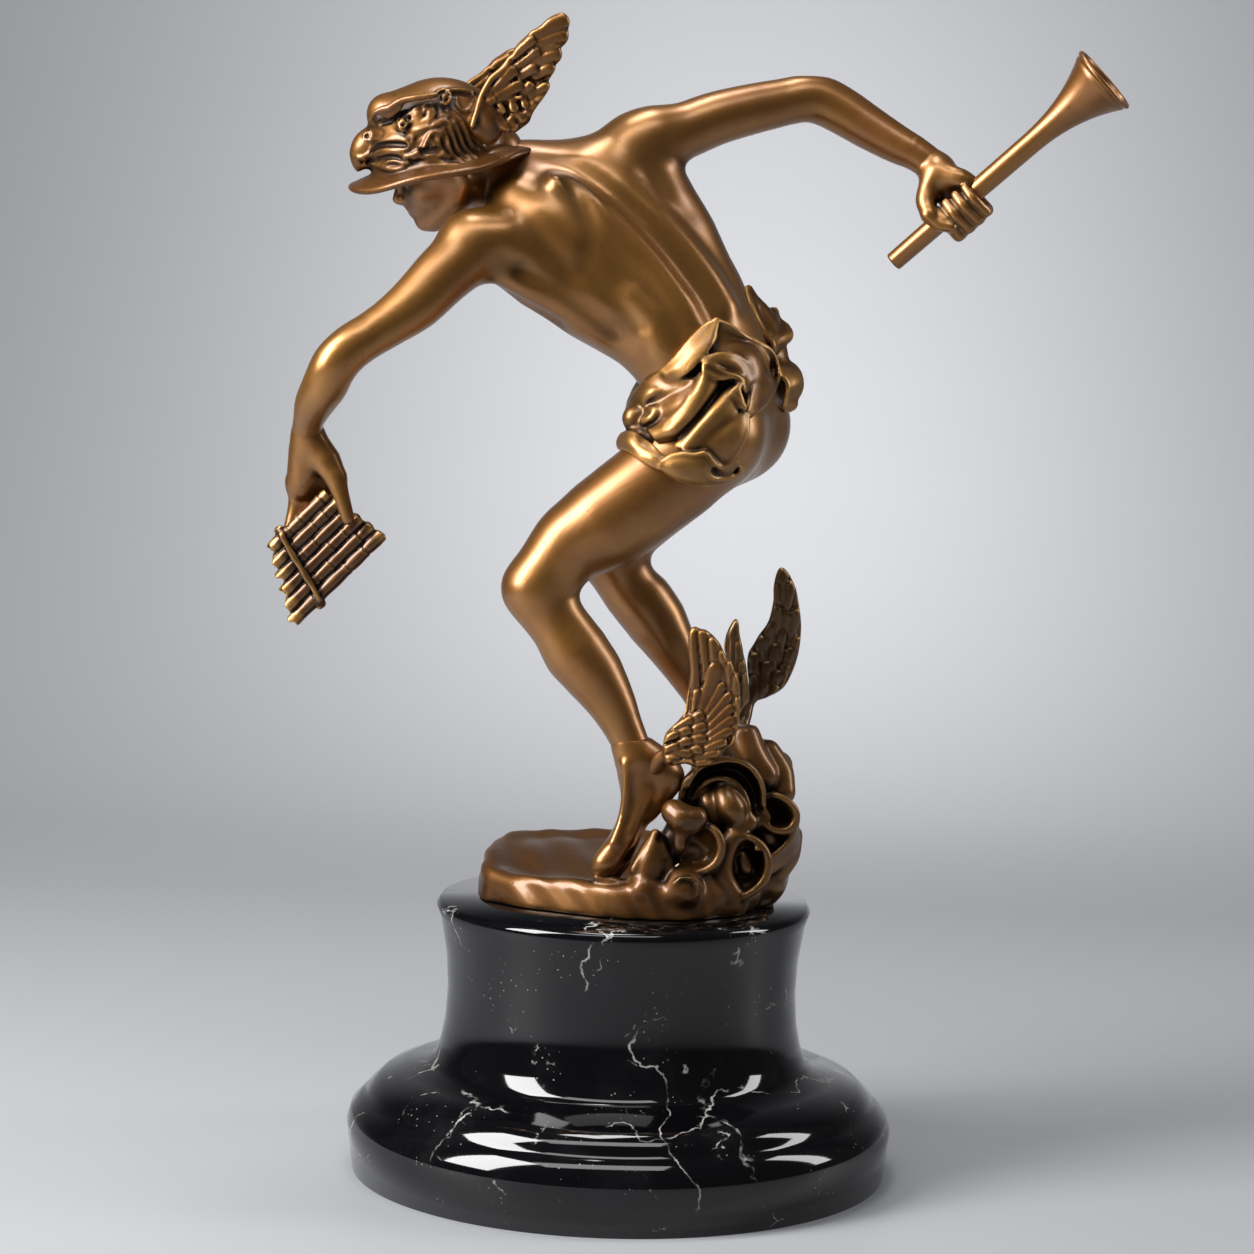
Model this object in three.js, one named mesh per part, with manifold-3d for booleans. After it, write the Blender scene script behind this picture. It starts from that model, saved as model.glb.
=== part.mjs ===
// A cast bronze Mercury with a trumpet and panpipes, on a turned black marble plinth.
// The figure is built the way a modeller works: clay is laid on as tapered limbs and eggs that run softly
// into each other, creases are pressed in, and the skin of that clay is then taken off as triangles.
// Units are millimetres and Z is up. The figure looks to -X, its left side is at -Y and its right side at +Y.
// The origin is the centre of the plinth's underside.

import * as THREE from "three";
import { mergeVertices } from "three/addons/utils/BufferGeometryUtils.js";
import Module from "manifold-3d";

const wasm = await Module();
wasm.setup();

// Plinth
const PLINTH_HEIGHT = 119.8;
const PLINTH_PROFILE = [
  [117.5, 0], [119.7, 18], [120, 21], [118.2, 27], [113.5, 31.5], [111, 33], [110.6, 35], [105, 40],
  [95, 44],
  [85, 46.6], [81.6, 50], [79.4, 57], [77.5, 67], [76.7, 81], [77.6, 96], [80.4, 112], [82.2, 117],
  [80.5, PLINTH_HEIGHT],
];
const PLINTH_SIDES = 40;

// Bronze figure. Its pose and carving are points of a clay model 383 high, which is scaled to FIGURE_HEIGHT.
const FIGURE_HEIGHT = 383;
const BED_GAP = 0.3;
const CLAY_CELL = 2;
const FIGURE_TRIANGLES = 6300;
const EVENNESS = 0.004;

// Trumpet
const TRUMPET_LENGTH = 121;
const TRUMPET_TAIL_RADIUS = 4.2;
const TRUMPET_NECK_RADIUS = 4.8;
const TRUMPET_BELL_RADIUS = 16;
const TRUMPET_BELL_LENGTH = 46;
const TRUMPET_WALL = 1.4;
const TRUMPET_BORE_DEPTH = 48;
const TRUMPET_GRIP = 37;
const TRUMPET_SIDES = 16;

// Panpipes
const PIPE_COUNT = 6;
const PIPE_RADIUS = 3.1;
const PIPE_PITCH = 5.7;
const PIPE_SHORTEST = 35;
const PIPE_STEP = 3.96;
const PIPE_END_STEP = 0.9;
const PIPE_TOP_LOW = -14.6;
const PIPE_RING_HEIGHT = 0.45;
const PIPE_SIDES = 8;
const TIE_RADIUS = 1.4;
const CORD_LOW = -14.3;
const CORD_HIGH = -6.3;

// Room that the bronze hands leave round what they hold
const GRIP_CLEARANCE = 0.3;

const SCALE = FIGURE_HEIGHT / 383;

// Vectors as arrays of three numbers
const plus = (a, b) => a.map((v, i) => v + b[i]);
const minus = (a, b) => a.map((v, i) => v - b[i]);
const times = (a, s) => a.map((v) => v * s);
const dot = (a, b) => a[0] * b[0] + a[1] * b[1] + a[2] * b[2];
const cross = (a, b) => [a[1] * b[2] - a[2] * b[1], a[2] * b[0] - a[0] * b[2], a[0] * b[1] - a[1] * b[0]];
const unit = (a) => times(a, 1 / Math.hypot(...a));
const mix = (a, b, t) => a.map((v, i) => v + (b[i] - v) * t);
const lerp = (a, b, t) => a + (b - a) * t;
const range = (count) => Array.from({ length: count }, (_, i) => i);
const smooth = (a, b, x) => THREE.MathUtils.smoothstep(x, a, b);

// A frame of three square directions at a point: forward, left and up.
function frameAt(origin, forward, up) {
  const f = unit(forward);
  const l = unit(cross(up, f));
  return { origin, f, l, u: cross(f, l) };
}

// The point that lies so far forward, left and up of a frame's origin.
function place(frame, forward, left, up) {
  return frame.origin.map((v, i) => v + frame.f[i] * forward + frame.l[i] * left + frame.u[i] * up);
}

// Points given forward, left and up of a frame, each with its radius.
function inFrame(frame, points) {
  return points.map(([f, l, u, ...radius]) => [...place(frame, f, l, u), ...radius]);
}

// Distance to an oval with radii a and b, for a point that lies q and s from its centre along them.
function ovalDistance(q, s, a, b) {
  const k0 = Math.sqrt((q / a) ** 2 + (s / b) ** 2);
  const k1 = Math.sqrt((q / (a * a)) ** 2 + (s / (b * b)) ** 2);
  return k1 > 1e-6 ? (k0 * (k0 - 1)) / k1 : -Math.min(a, b);
}

// A tapered limb from a to b. flat under 1 thins it along side, and bulge swells its middle.
function limb(a, b, radiusA, radiusB, { flat = 1, side = [0, 1, 0], bulge = 0 } = {}) {
  const axis = minus(b, a);
  const length2 = Math.max(dot(axis, axis), 1e-9);
  const across = flat < 1 ? unit(minus(side, times(axis, dot(side, axis) / length2))) : side;
  const reach = Math.max(radiusA, radiusB) + Math.max(bulge, 0);
  const distance = (x, y, z) => {
    let px = x - a[0];
    let py = y - a[1];
    let pz = z - a[2];
    const t = Math.min(1, Math.max(0, (px * axis[0] + py * axis[1] + pz * axis[2]) / length2));
    px -= axis[0] * t;
    py -= axis[1] * t;
    pz -= axis[2] * t;
    const radius = radiusA + (radiusB - radiusA) * t + 4 * bulge * t * (1 - t);
    const squared = px * px + py * py + pz * pz;
    if (flat >= 1) return Math.sqrt(squared) - radius;
    const s = px * across[0] + py * across[1] + pz * across[2];
    return ovalDistance(Math.sqrt(Math.max(squared - s * s, 0)), s, radius, radius * flat);
  };
  const low = a.map((v, i) => Math.min(v, b[i]) - reach);
  const high = a.map((v, i) => Math.max(v, b[i]) + reach);
  return { distance, low, high };
}

// An egg of three radii along a frame's forward, left and up.
function egg(frame, radiusF, radiusL, radiusU) {
  const { origin, f, l, u } = frame;
  const distance = (x, y, z) => {
    const px = x - origin[0];
    const py = y - origin[1];
    const pz = z - origin[2];
    const a = (px * f[0] + py * f[1] + pz * f[2]) / radiusF;
    const b = (px * l[0] + py * l[1] + pz * l[2]) / radiusL;
    const c = (px * u[0] + py * u[1] + pz * u[2]) / radiusU;
    const k0 = Math.sqrt(a * a + b * b + c * c);
    const k1 = Math.sqrt((a / radiusF) ** 2 + (b / radiusL) ** 2 + (c / radiusU) ** 2);
    return k1 > 1e-6 ? (k0 * (k0 - 1)) / k1 : -Math.min(radiusF, radiusL, radiusU);
  };
  const reach = Math.max(radiusF, radiusL, radiusU);
  return { distance, low: origin.map((v) => v - reach), high: origin.map((v) => v + reach) };
}

const ball = ([x, y, z, radius]) => limb([x, y, z], [x, y, z], radius, radius);

// A flat plate with a free outline: out is the distance outside it at each point, thick half its thickness
// forward and left of the frame, whose height above the frame's plane is bent by rise.
function plate(frame, reach, out, rise, thick) {
  const { origin, f, l, u } = frame;
  const distance = (x, y, z) => {
    const [px, py, pz] = [x - origin[0], y - origin[1], z - origin[2]];
    const q = px * f[0] + py * f[1] + pz * f[2];
    const s = px * l[0] + py * l[1] + pz * l[2];
    const a = out(q, s);
    const b = Math.abs(px * u[0] + py * u[1] + pz * u[2] - rise(q, s)) - thick;
    const corner = Math.hypot(Math.max(a + thick, 0), Math.max(b + thick, 0));
    return corner + Math.min(Math.max(a, b) + thick, 0) - thick;
  };
  return { distance, low: origin.map((v) => v - reach), high: origin.map((v) => v + reach) };
}

// How far a point lies outside a closed outline.
function outside(outline, x, y) {
  let nearest = Infinity;
  let within = false;
  outline.forEach(([ax, ay], i) => {
    const [bx, by] = outline[(i + 1) % outline.length];
    const [ex, ey] = [bx - ax, by - ay];
    const t = Math.min(1, Math.max(0, ((x - ax) * ex + (y - ay) * ey) / (ex * ex + ey * ey)));
    nearest = Math.min(nearest, Math.hypot(x - ax - ex * t, y - ay - ey * t));
    if (ay > y !== by > y && x < ax + (ex * (y - ay)) / ey) within = !within;
  });
  return within ? -nearest : nearest;
}

// Points along a smooth curve through the given ones, whose fourth number is a radius that is blended alike.
function curveThrough(points, steps) {
  const knots = points.map((p) => new THREE.Vector3(...p.slice(0, 3)));
  const curve = new THREE.CatmullRomCurve3(knots, false, "catmullrom");
  const last = points.length - 1;
  return range(steps + 1).map((i) => {
    const at = Math.min(last - 1, Math.floor((i / steps) * last));
    const radius = lerp(points[at][3], points[at + 1][3], (i / steps) * last - at);
    return [...curve.getPoint(i / steps).toArray(), radius];
  });
}

// Limbs end to end along a smooth curve, or a ball for a single point.
function strand(points, { steps = 3 * (points.length - 1), ...shape } = {}) {
  if (points.length === 1) return [ball(points[0])];
  const along = curveThrough(points, steps);
  return along.slice(1).map((p, i) => limb(along[i].slice(0, 3), p.slice(0, 3), along[i][3], p[3], shape));
}

// Clay: a grid of distances to the skin, to which shapes are added and from which they are pressed out.
class Clay {
  constructor(low, high, cell) {
    this.low = low;
    this.cell = cell;
    this.size = low.map((v, i) => Math.ceil((high[i] - v) / cell) + 1);
    this.values = new Float32Array(this.size[0] * this.size[1] * this.size[2]).fill(1e3);
  }

  // The grid's first and last points, along each axis, in a box widened by margin.
  span({ low, high }, margin) {
    const from = low.map((v, i) => Math.max(0, Math.floor((v - margin - this.low[i]) / this.cell)));
    const last = high.map((v, i) => Math.ceil((v + margin - this.low[i]) / this.cell));
    const to = last.map((v, i) => Math.min(this.size[i] - 1, v));
    return { from, to };
  }

  // Sets each value near some shapes, taken as one body, from what it was and the distance to the body.
  work(shapes, margin, rule) {
    const { cell, size, values } = this;
    const parts = [shapes].flat();
    const low = range(3).map((axis) => Math.min(...parts.map((part) => part.low[axis])));
    const high = range(3).map((axis) => Math.max(...parts.map((part) => part.high[axis])));
    const { from, to } = this.span({ low, high }, margin);
    const [nx, ny, nz] = to.map((v, i) => Math.max(v - from[i] + 1, 0));
    const distances = new Float32Array(nx * ny * nz).fill(1e3);
    for (const part of parts) {
      const own = this.span(part, margin);
      for (let k = own.from[2]; k <= own.to[2]; k++) {
        for (let j = own.from[1]; j <= own.to[1]; j++) {
          let at = ((k - from[2]) * ny + j - from[1]) * nx + own.from[0] - from[0];
          for (let i = own.from[0]; i <= own.to[0]; i++) {
            const d = part.distance(this.low[0] + i * cell, this.low[1] + j * cell, this.low[2] + k * cell);
            if (d < distances[at]) distances[at] = d;
            at++;
          }
        }
      }
    }
    for (let k = 0; k < nz; k++) {
      for (let j = 0; j < ny; j++) {
        const row = ((k + from[2]) * size[1] + j + from[1]) * size[0] + from[0];
        const first = (k * ny + j) * nx;
        for (let i = 0; i < nx; i++) values[row + i] = rule(values[row + i], distances[first + i]);
      }
    }
  }

  // Lays a body on, running into what is there over the width soft.
  add(shapes, soft = 1.5) {
    this.work(shapes, soft + 2 * this.cell, (value, d) => {
      const h = Math.max(soft - Math.abs(value - d), 0) / soft;
      return Math.min(value, d) - h * h * soft * 0.25;
    });
  }

  // Presses a body out, with an edge rounded over the width soft.
  press(shapes, soft = 1.5) {
    this.work(shapes, soft + 2 * this.cell, (value, d) => {
      const h = Math.max(soft - Math.abs(value + d), 0) / soft;
      return Math.max(value, -d) + h * h * soft * 0.25;
    });
  }

  // Empties the grid's outermost points, so that the skin closes before them.
  close() {
    const [nx, ny, nz] = this.size;
    for (let k = 0; k < nz; k++) {
      for (let j = 0; j < ny; j++) {
        const ends = k === 0 || k === nz - 1 || j === 0 || j === ny - 1;
        for (let i = 0; i < nx; i += ends ? 1 : nx - 1) this.values[(k * ny + j) * nx + i] = this.cell;
      }
    }
  }

  // The skin as triangles, from the six tetrahedra of each cell that it passes through.
  skin() {
    const { cell, low, size, values } = this;
    const [nx, ny, nz] = size;
    const corner = range(8).map((c) => (c & 1) + ((c >> 1) & 1) * nx + (c >> 2) * nx * ny);
    const points = [];
    const faces = [];
    const known = new Map();
    const crossing = (i, j, k, base, p, q) => {
      const first = p & q;
      const second = p | q;
      const key = (base + corner[first]) * 8 + (first ^ second);
      let id = known.get(key);
      if (id === undefined) {
        const a = values[base + corner[first]];
        const b = values[base + corner[second]];
        const t = Math.min(0.95, Math.max(0.05, a / (a - b)));
        id = points.length / 3;
        [i, j, k].forEach((g, axis) => {
          points.push(low[axis] + cell * (g + lerp((first >> axis) & 1, (second >> axis) & 1, t)));
        });
        known.set(key, id);
      }
      return id;
    };
    for (let k = 0; k < nz - 1; k++) {
      for (let j = 0; j < ny - 1; j++) {
        for (let i = 0; i < nx - 1; i++) {
          const base = (k * ny + j) * nx + i;
          let inside = 0;
          for (let c = 0; c < 8; c++) inside += values[base + corner[c]] < 0 ? 1 : 0;
          if (inside === 0 || inside === 8) continue;
          for (const tetrahedron of TETRAHEDRA) {
            const within = tetrahedron.filter((c) => values[base + corner[c]] < 0);
            const without = tetrahedron.filter((c) => values[base + corner[c]] >= 0);
            const ids = crossedEdges(within, without).map(([p, q]) => crossing(i, j, k, base, p, q));
            if (isOddSwap(tetrahedron, [...within, ...without])) ids.reverse();
            for (let n = 2; n < ids.length; n++) faces.push(ids[0], ids[n - 1], ids[n]);
          }
        }
      }
    }
    return { points, faces };
  }
}

// A cell's corners are numbered by bits for x, y and z, and six tetrahedra round its long diagonal fill it.
const TETRAHEDRA = [[0, 1, 3, 7], [0, 5, 1, 7], [0, 3, 2, 7], [0, 2, 6, 7], [0, 4, 5, 7], [0, 6, 4, 7]];

// A tetrahedron's edges between the corners within the skin and those without, in order round the cut.
function crossedEdges(within, without) {
  if (within.length === 0 || without.length === 0) return [];
  if (within.length === 1) return without.map((c) => [within[0], c]);
  if (without.length === 1) return within.map((c) => [c, without[0]]);
  const [a, b] = within;
  const [c, d] = without;
  return [[a, c], [a, d], [b, d], [b, c]];
}

// Whether an order of four corners is an odd number of swaps away from the tetrahedron's own.
function isOddSwap(tetrahedron, order) {
  const places = order.map((c) => tetrahedron.indexOf(c));
  let odd = false;
  for (let i = 0; i < 4; i++) {
    for (let j = i + 1; j < 4; j++) odd = places[i] > places[j] ? !odd : odd;
  }
  return odd;
}

// Edges waiting to be merged, the cheapest on top.
class Heap {
  constructor() {
    this.items = [];
  }

  push(item) {
    const { items } = this;
    let at = items.length;
    while (at > 0) {
      const up = (at - 1) >> 1;
      if (items[up].cost <= item.cost) break;
      items[at] = items[up];
      at = up;
    }
    items[at] = item;
  }

  pop() {
    const { items } = this;
    const top = items[0];
    const item = items.pop();
    if (items.length === 0) return top;
    let at = 0;
    for (;;) {
      let down = 2 * at + 1;
      if (down + 1 < items.length && items[down + 1].cost < items[down].cost) down++;
      if (down >= items.length || items[down].cost >= item.cost) break;
      items[at] = items[down];
      at = down;
    }
    items[at] = item;
    return top;
  }
}

// A closed skin whose edges can be merged, the flattest places first, until few triangles are left.
class Skin {
  constructor({ points, faces }) {
    this.points = Float64Array.from(points);
    this.faces = Int32Array.from(faces);
    this.count = faces.length / 3;
    this.rings = range(points.length / 3).map(() => []);
    this.bends = new Float64Array((points.length / 3) * 10);
    this.stamps = new Int32Array(points.length / 3);
    for (let face = 0; face < this.count; face++) this.addPlane(face);
  }

  corners(face) {
    return [this.faces[3 * face], this.faces[3 * face + 1], this.faces[3 * face + 2]];
  }

  point(id) {
    return [this.points[3 * id], this.points[3 * id + 1], this.points[3 * id + 2]];
  }

  // Adds a face to its corners' rings, and the squared distance to its plane to the cost of moving them.
  addPlane(face) {
    const ids = this.corners(face);
    const [a, b, c] = ids.map((id) => this.point(id));
    const normal = cross(minus(b, a), minus(c, a));
    const area = Math.hypot(...normal);
    const [x, y, z] = times(normal, 1 / Math.max(area, 1e-12));
    const w = -(x * a[0] + y * a[1] + z * a[2]);
    const plane = [x * x, x * y, x * z, x * w, y * y, y * z, y * w, z * z, z * w, w * w];
    for (const id of ids) {
      this.rings[id].push(face);
      for (let i = 0; i < 10; i++) this.bends[10 * id + i] += plane[i] * area;
    }
  }

  neighbours(id) {
    const found = new Set();
    for (const face of this.rings[id]) {
      for (let i = 0; i < 3; i++) found.add(this.faces[3 * face + i]);
    }
    found.delete(id);
    return found;
  }

  // The place that the corners a and b would merge to, and what that costs.
  offer(a, b) {
    const { points, bends, stamps } = this;
    const sum = (i) => bends[10 * a + i] + bends[10 * b + i];
    const [xx, xy, xz, xw, yy] = [sum(0), sum(1), sum(2), sum(3), sum(4)];
    const [yz, yw, zz, zw, ww] = [sum(5), sum(6), sum(7), sum(8), sum(9)];
    const [ax, ay, az] = [points[3 * a], points[3 * a + 1], points[3 * a + 2]];
    const [bx, by, bz] = [points[3 * b], points[3 * b + 1], points[3 * b + 2]];
    const length2 = (ax - bx) ** 2 + (ay - by) ** 2 + (az - bz) ** 2;
    const [mx, my, mz] = [(ax + bx) / 2, (ay + by) / 2, (az + bz) / 2];
    let [x, y, z] = [mx, my, mz];
    const det = xx * (yy * zz - yz * yz) - xy * (xy * zz - yz * xz) + xz * (xy * yz - yy * xz);
    if (Math.abs(det) > 1e-4 * ((xx + yy + zz) / 3) ** 3) {
      x = -(xw * (yy * zz - yz * yz) - xy * (yw * zz - yz * zw) + xz * (yw * yz - yy * zw)) / det;
      y = -(xx * (yw * zz - zw * yz) - xw * (xy * zz - yz * xz) + xz * (xy * zw - yw * xz)) / det;
      z = -(xx * (yy * zw - yz * yw) - xy * (xy * zw - yw * xz) + xw * (xy * yz - yy * xz)) / det;
      if ((x - mx) ** 2 + (y - my) ** 2 + (z - mz) ** 2 > length2) [x, y, z] = [mx, my, mz];
    }
    const bend = xx * x * x + yy * y * y + zz * z * z + ww
      + 2 * (xy * x * y + xz * x * z + yz * y * z + xw * x + yw * y + zw * z);
    return { a, b, x, y, z, cost: Math.max(bend, 0) + EVENNESS * length2, stamp: stamps[a] + stamps[b] };
  }

  // Whether each face at a corner, but for those at the corner gone, still faces its way with it at spot.
  keepsFacing(id, gone, { x, y, z }) {
    const { points, faces } = this;
    for (const face of this.rings[id]) {
      let at = 3 * face;
      if (faces[at] === gone || faces[at + 1] === gone || faces[at + 2] === gone) continue;
      while (faces[at] !== id) at++;
      const b = faces[at + 1 < 3 * face + 3 ? at + 1 : at - 2];
      const c = faces[at + 2 < 3 * face + 3 ? at + 2 : at - 1];
      const [bx, by, bz] = [points[3 * b], points[3 * b + 1], points[3 * b + 2]];
      const [ex, ey, ez] = [points[3 * c] - bx, points[3 * c + 1] - by, points[3 * c + 2] - bz];
      const [ox, oy, oz] = [points[3 * id] - bx, points[3 * id + 1] - by, points[3 * id + 2] - bz];
      const [nx, ny, nz] = [x - bx, y - by, z - bz];
      const before = [ey * oz - ez * oy, ez * ox - ex * oz, ex * oy - ey * ox];
      const after = [ey * nz - ez * ny, ez * nx - ex * nz, ex * ny - ey * nx];
      const agree = dot(before, after);
      if (agree <= 0 || agree ** 2 < 0.1 * dot(before, before) * dot(after, after)) return false;
    }
    return true;
  }

  // Whether merging a and b leaves the skin closed and unfolded.
  canMerge(edge) {
    const nearB = this.neighbours(edge.b);
    let shared = 0;
    for (const id of this.neighbours(edge.a)) shared += nearB.has(id) ? 1 : 0;
    return shared === 2 && this.keepsFacing(edge.a, edge.b, edge) && this.keepsFacing(edge.b, edge.a, edge);
  }

  merge({ a, b, x, y, z }) {
    for (const face of this.rings[b]) {
      const ids = this.corners(face);
      if (ids.includes(a)) {
        for (const id of ids) if (id !== b) this.rings[id] = this.rings[id].filter((other) => other !== face);
        this.faces[3 * face] = -1;
        this.count--;
      } else {
        this.faces[3 * face + ids.indexOf(b)] = a;
        this.rings[a].push(face);
      }
    }
    this.rings[b] = [];
    this.points.set([x, y, z], 3 * a);
    for (let i = 0; i < 10; i++) this.bends[10 * a + i] += this.bends[10 * b + i];
    this.stamps[a] += 1;
    this.stamps[b] = -1e6;
  }

  simplify(target) {
    const heap = new Heap();
    for (const id of this.rings.keys()) {
      for (const other of this.neighbours(id)) if (other > id) heap.push(this.offer(id, other));
    }
    while (this.count > target && heap.items.length > 0) {
      const edge = heap.pop();
      if (edge.stamp !== this.stamps[edge.a] + this.stamps[edge.b] || !this.canMerge(edge)) continue;
      this.merge(edge);
      for (const other of this.neighbours(edge.a)) heap.push(this.offer(edge.a, other));
    }
    return this;
  }

  geometry() {
    const kept = range(this.faces.length / 3).filter((face) => this.faces[3 * face] >= 0);
    const geometry = new THREE.BufferGeometry();
    geometry.setAttribute("position", new THREE.Float32BufferAttribute(this.points, 3));
    geometry.setIndex(kept.flatMap((face) => this.corners(face)));
    return geometry;
  }
}

// A solid from a closed geometry, whose corners are merged first.
function solid(geometry) {
  const bare = geometry.clone();
  bare.deleteAttribute("normal");
  bare.deleteAttribute("uv");
  const merged = mergeVertices(bare, 1e-4);
  const vertProperties = Float32Array.from(merged.attributes.position.array);
  const faces = range(merged.index.count / 3).map((face) => merged.index.array.slice(3 * face, 3 * face + 3));
  const whole = faces.filter(([a, b, c]) => a !== b && b !== c && c !== a);
  const triVerts = Uint32Array.from(whole.flatMap((ids) => [...ids]));
  return new wasm.Manifold(new wasm.Mesh({ numProp: 3, vertProperties, triVerts }));
}

function geometryOf(manifold) {
  const mesh = manifold.getMesh();
  const geometry = new THREE.BufferGeometry();
  geometry.setAttribute("position", new THREE.Float32BufferAttribute(mesh.vertProperties, 3));
  geometry.setIndex(Array.from(mesh.triVerts));
  return geometry;
}

// The middles and radii of the body's round forms, in the layout's millimetres above the plinth
const NEAR_THIGH = [
  [33, -17, 206, 22], [18.5, -20, 191, 22], [7.5, -22, 182, 21.3], [-1.6, -23, 174.6, 21.3],
  [-11.4, -24, 167.4, 20.6], [-19, -24.5, 162.5, 18.8], [-27.3, -25, 156.7, 16.9], [-40.5, -26, 139, 14.2],
];
const NEAR_SHIN = [
  [-40.5, -26, 138, 14], [-36, -26.5, 130, 13.2], [-29.6, -27, 121.6, 13], [-23, -27.5, 111.6, 14.4],
  [-16, -28, 103, 13.4], [-8.2, -28.5, 91.4, 10.8], [-3, -29, 81.6, 8.9], [1.5, -29.5, 72.4, 8],
  [6, -30, 64, 7.9],
];
const FAR_THIGH = [
  [46, 18, 209, 20.5], [32, 20, 197, 20], [16, 22, 182, 19.5], [2, 23, 168, 17.5], [-10.7, 24, 152, 14],
];
const FAR_SHIN = [
  [-10.7, 24, 152, 14], [-1.5, 25, 136, 13.3], [5.2, 25.5, 128.6, 14.2], [11.2, 26, 120.7, 13.8],
  [16.5, 26, 112.5, 12], [23.5, 27, 101, 9.6], [31, 27.5, 89.5, 8.2], [38, 28, 78, 7.9],
];
const NEAR_ARM = [
  [-71, -21, 284, 14.5], [-76, -25, 278, 13.6], [-84, -30, 270, 12.8], [-94, -36, 259, 11.8],
  [-104, -41, 251, 10.2],
  [-112, -44, 245.5, 9.6], [-120, -47, 240, 9.8], [-126.5, -48, 233, 10], [-131, -44, 224, 9.8],
  [-136, -36, 216, 8.6], [-139, -29, 209, 6.8], [-140.5, -23, 203, 6.6],
];
const FAR_ARM = [
  [-2, 14, 329, 15], [6, 15, 332.5, 14], [18, 18, 336, 12.4], [31, 21, 341.5, 11.8], [46, 25, 346, 11.2],
  [62, 29, 350, 10.4], [71, 31, 352, 10.6], [79, 32, 351, 10.8], [89, 31, 346, 10.4], [98, 29, 340.5, 9.8],
  [111, 25, 333, 8.6], [120, 22, 328.5, 7.5], [129, 20, 322, 7.2],
];

// The middles of the trunk from the seat to the neck, each with its half width, half depth and where it faces
const TRUNK = [
  { at: [36, 0, 211], width: 30, depth: 22, facing: [-0.88, 0.4, -0.28] },
  { at: [33, 1, 226], width: 33, depth: 23, facing: [-0.84, 0.48, -0.28] },
  { at: [25.5, 2, 244], width: 29.5, depth: 21.5, facing: [-0.66, 0.68, -0.31] },
  { at: [15, 4, 258], width: 33, depth: 22.5, facing: [-0.55, 0.77, -0.33] },
  { at: [-7, 7, 280], width: 40, depth: 26, facing: [-0.36, 0.86, -0.36] },
  { at: [-22, 8, 293], width: 38, depth: 24, facing: [-0.33, 0.88, -0.34] },
  { at: [-36, 9, 303], width: 25, depth: 17, facing: [-0.33, 0.88, -0.34] },
];

// Strands laid on and pressed into the back: the columns along the spine, shoulder blades and side muscles
const BACK_MUSCLES = [
  [[-30, -3, 312, 5], [-17, -8, 305, 6], [-5, -13, 294, 6], [7, -15, 281, 6], [16, -17, 267, 6],
    [22, -19, 254, 5.5]],
  [[-20, 2, 316, 5], [-4, -3, 308, 6], [9, -5, 296, 6], [20, -7, 284, 6], [29, -9, 272, 6],
    [36, -10, 260, 5.5]],
  [[-50, -8, 302, 8], [-38, -15, 295, 10], [-33, -17, 285, 8]],
  [[-12, 12, 326, 7], [2, 9, 318, 8], [10, 6, 306, 7]],
  [[-56, -20, 276, 5], [-44, -19, 271, 7], [-30, -18, 266, 7], [-18, -16, 257, 5]],
];
const BACK_HOLLOWS = [
  [[-44, -14, 322, 3], [-30, -16, 320, 4], [-14, -22, 311, 5], [-1, -23, 300, 5.5], [10, -23, 288, 5.5],
    [19, -24, 276, 5.5], [27, -25, 266, 5.5], [34, -27, 253, 5]],
  [[-24, -29, 308, 5], [-18, -31, 298, 5], [-19, -33, 286, 4]],
  [[-14, -34, 270, 6], [-4, -33, 261, 6]],
];

const HEAD = frameAt([-88, 7, 322], [-0.955, 0.05, -0.29], [-0.28, -0.17, 0.945]);
const HORN_DIRECTION = unit([0.718, -0.202, 0.666]);
const FIST = frameAt([137.5, 12, 305.8], HORN_DIRECTION, [-0.148, -0.98, -0.138]);
const RAFT = frameAt([-135.7, -20, 152.1], [0.7, 0, 0.714], [0, -1, 0]);
const BOTH_SIDES = [1, -1];

function addTrunk(clay) {
  const parts = TRUNK.slice(1).map((to, i) => {
    const from = TRUNK[i];
    const flat = (from.depth + to.depth) / (from.width + to.width);
    return limb(from.at, to.at, from.width, to.width, { flat, side: mix(from.facing, to.facing, 0.5) });
  });
  for (const part of parts) clay.add(part, 10);
  clay.add(strand([[-38, 10, 305, 17], [-52, 9, 314, 15], [-68, 8, 316, 13.5]]), 12);
  clay.add(strand([[-72, -20, 284, 13], [-54, -12, 288, 16], [-30, -4, 292, 18]]), 12);
  clay.add(strand([[2, 14, 330, 13], [-12, 10, 319, 16], [-26, 6, 306, 18]]), 12);
  clay.add(strand([[-58, -14, 276, 7], [-44, -14, 269, 12], [-22, -10, 262, 14], [4, -4, 250, 12]]), 10);
  clay.add(strand([[8, 16, 320, 7], [10, 14, 308, 12], [19, 12, 291, 12.5], [30, 8, 270, 10]]), 10);
  clay.add(strand([[-36, -12, 292, 10], [-24, -15, 283, 8], [-10, -14, 279, 5]]), 10);
  clay.add(egg(frameAt([32, -16, 206], [-1, 0, 0], [0, 0, 1]), 21, 19, 23), 8);
  clay.add(egg(frameAt([47, 19, 208], [-1, 0, 0], [0, 0, 1]), 20, 19, 23), 8);
  for (const muscle of BACK_MUSCLES) clay.add(strand(muscle), 7);
  for (const hollow of BACK_HOLLOWS) clay.press(strand(hollow), 6);
}

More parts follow.
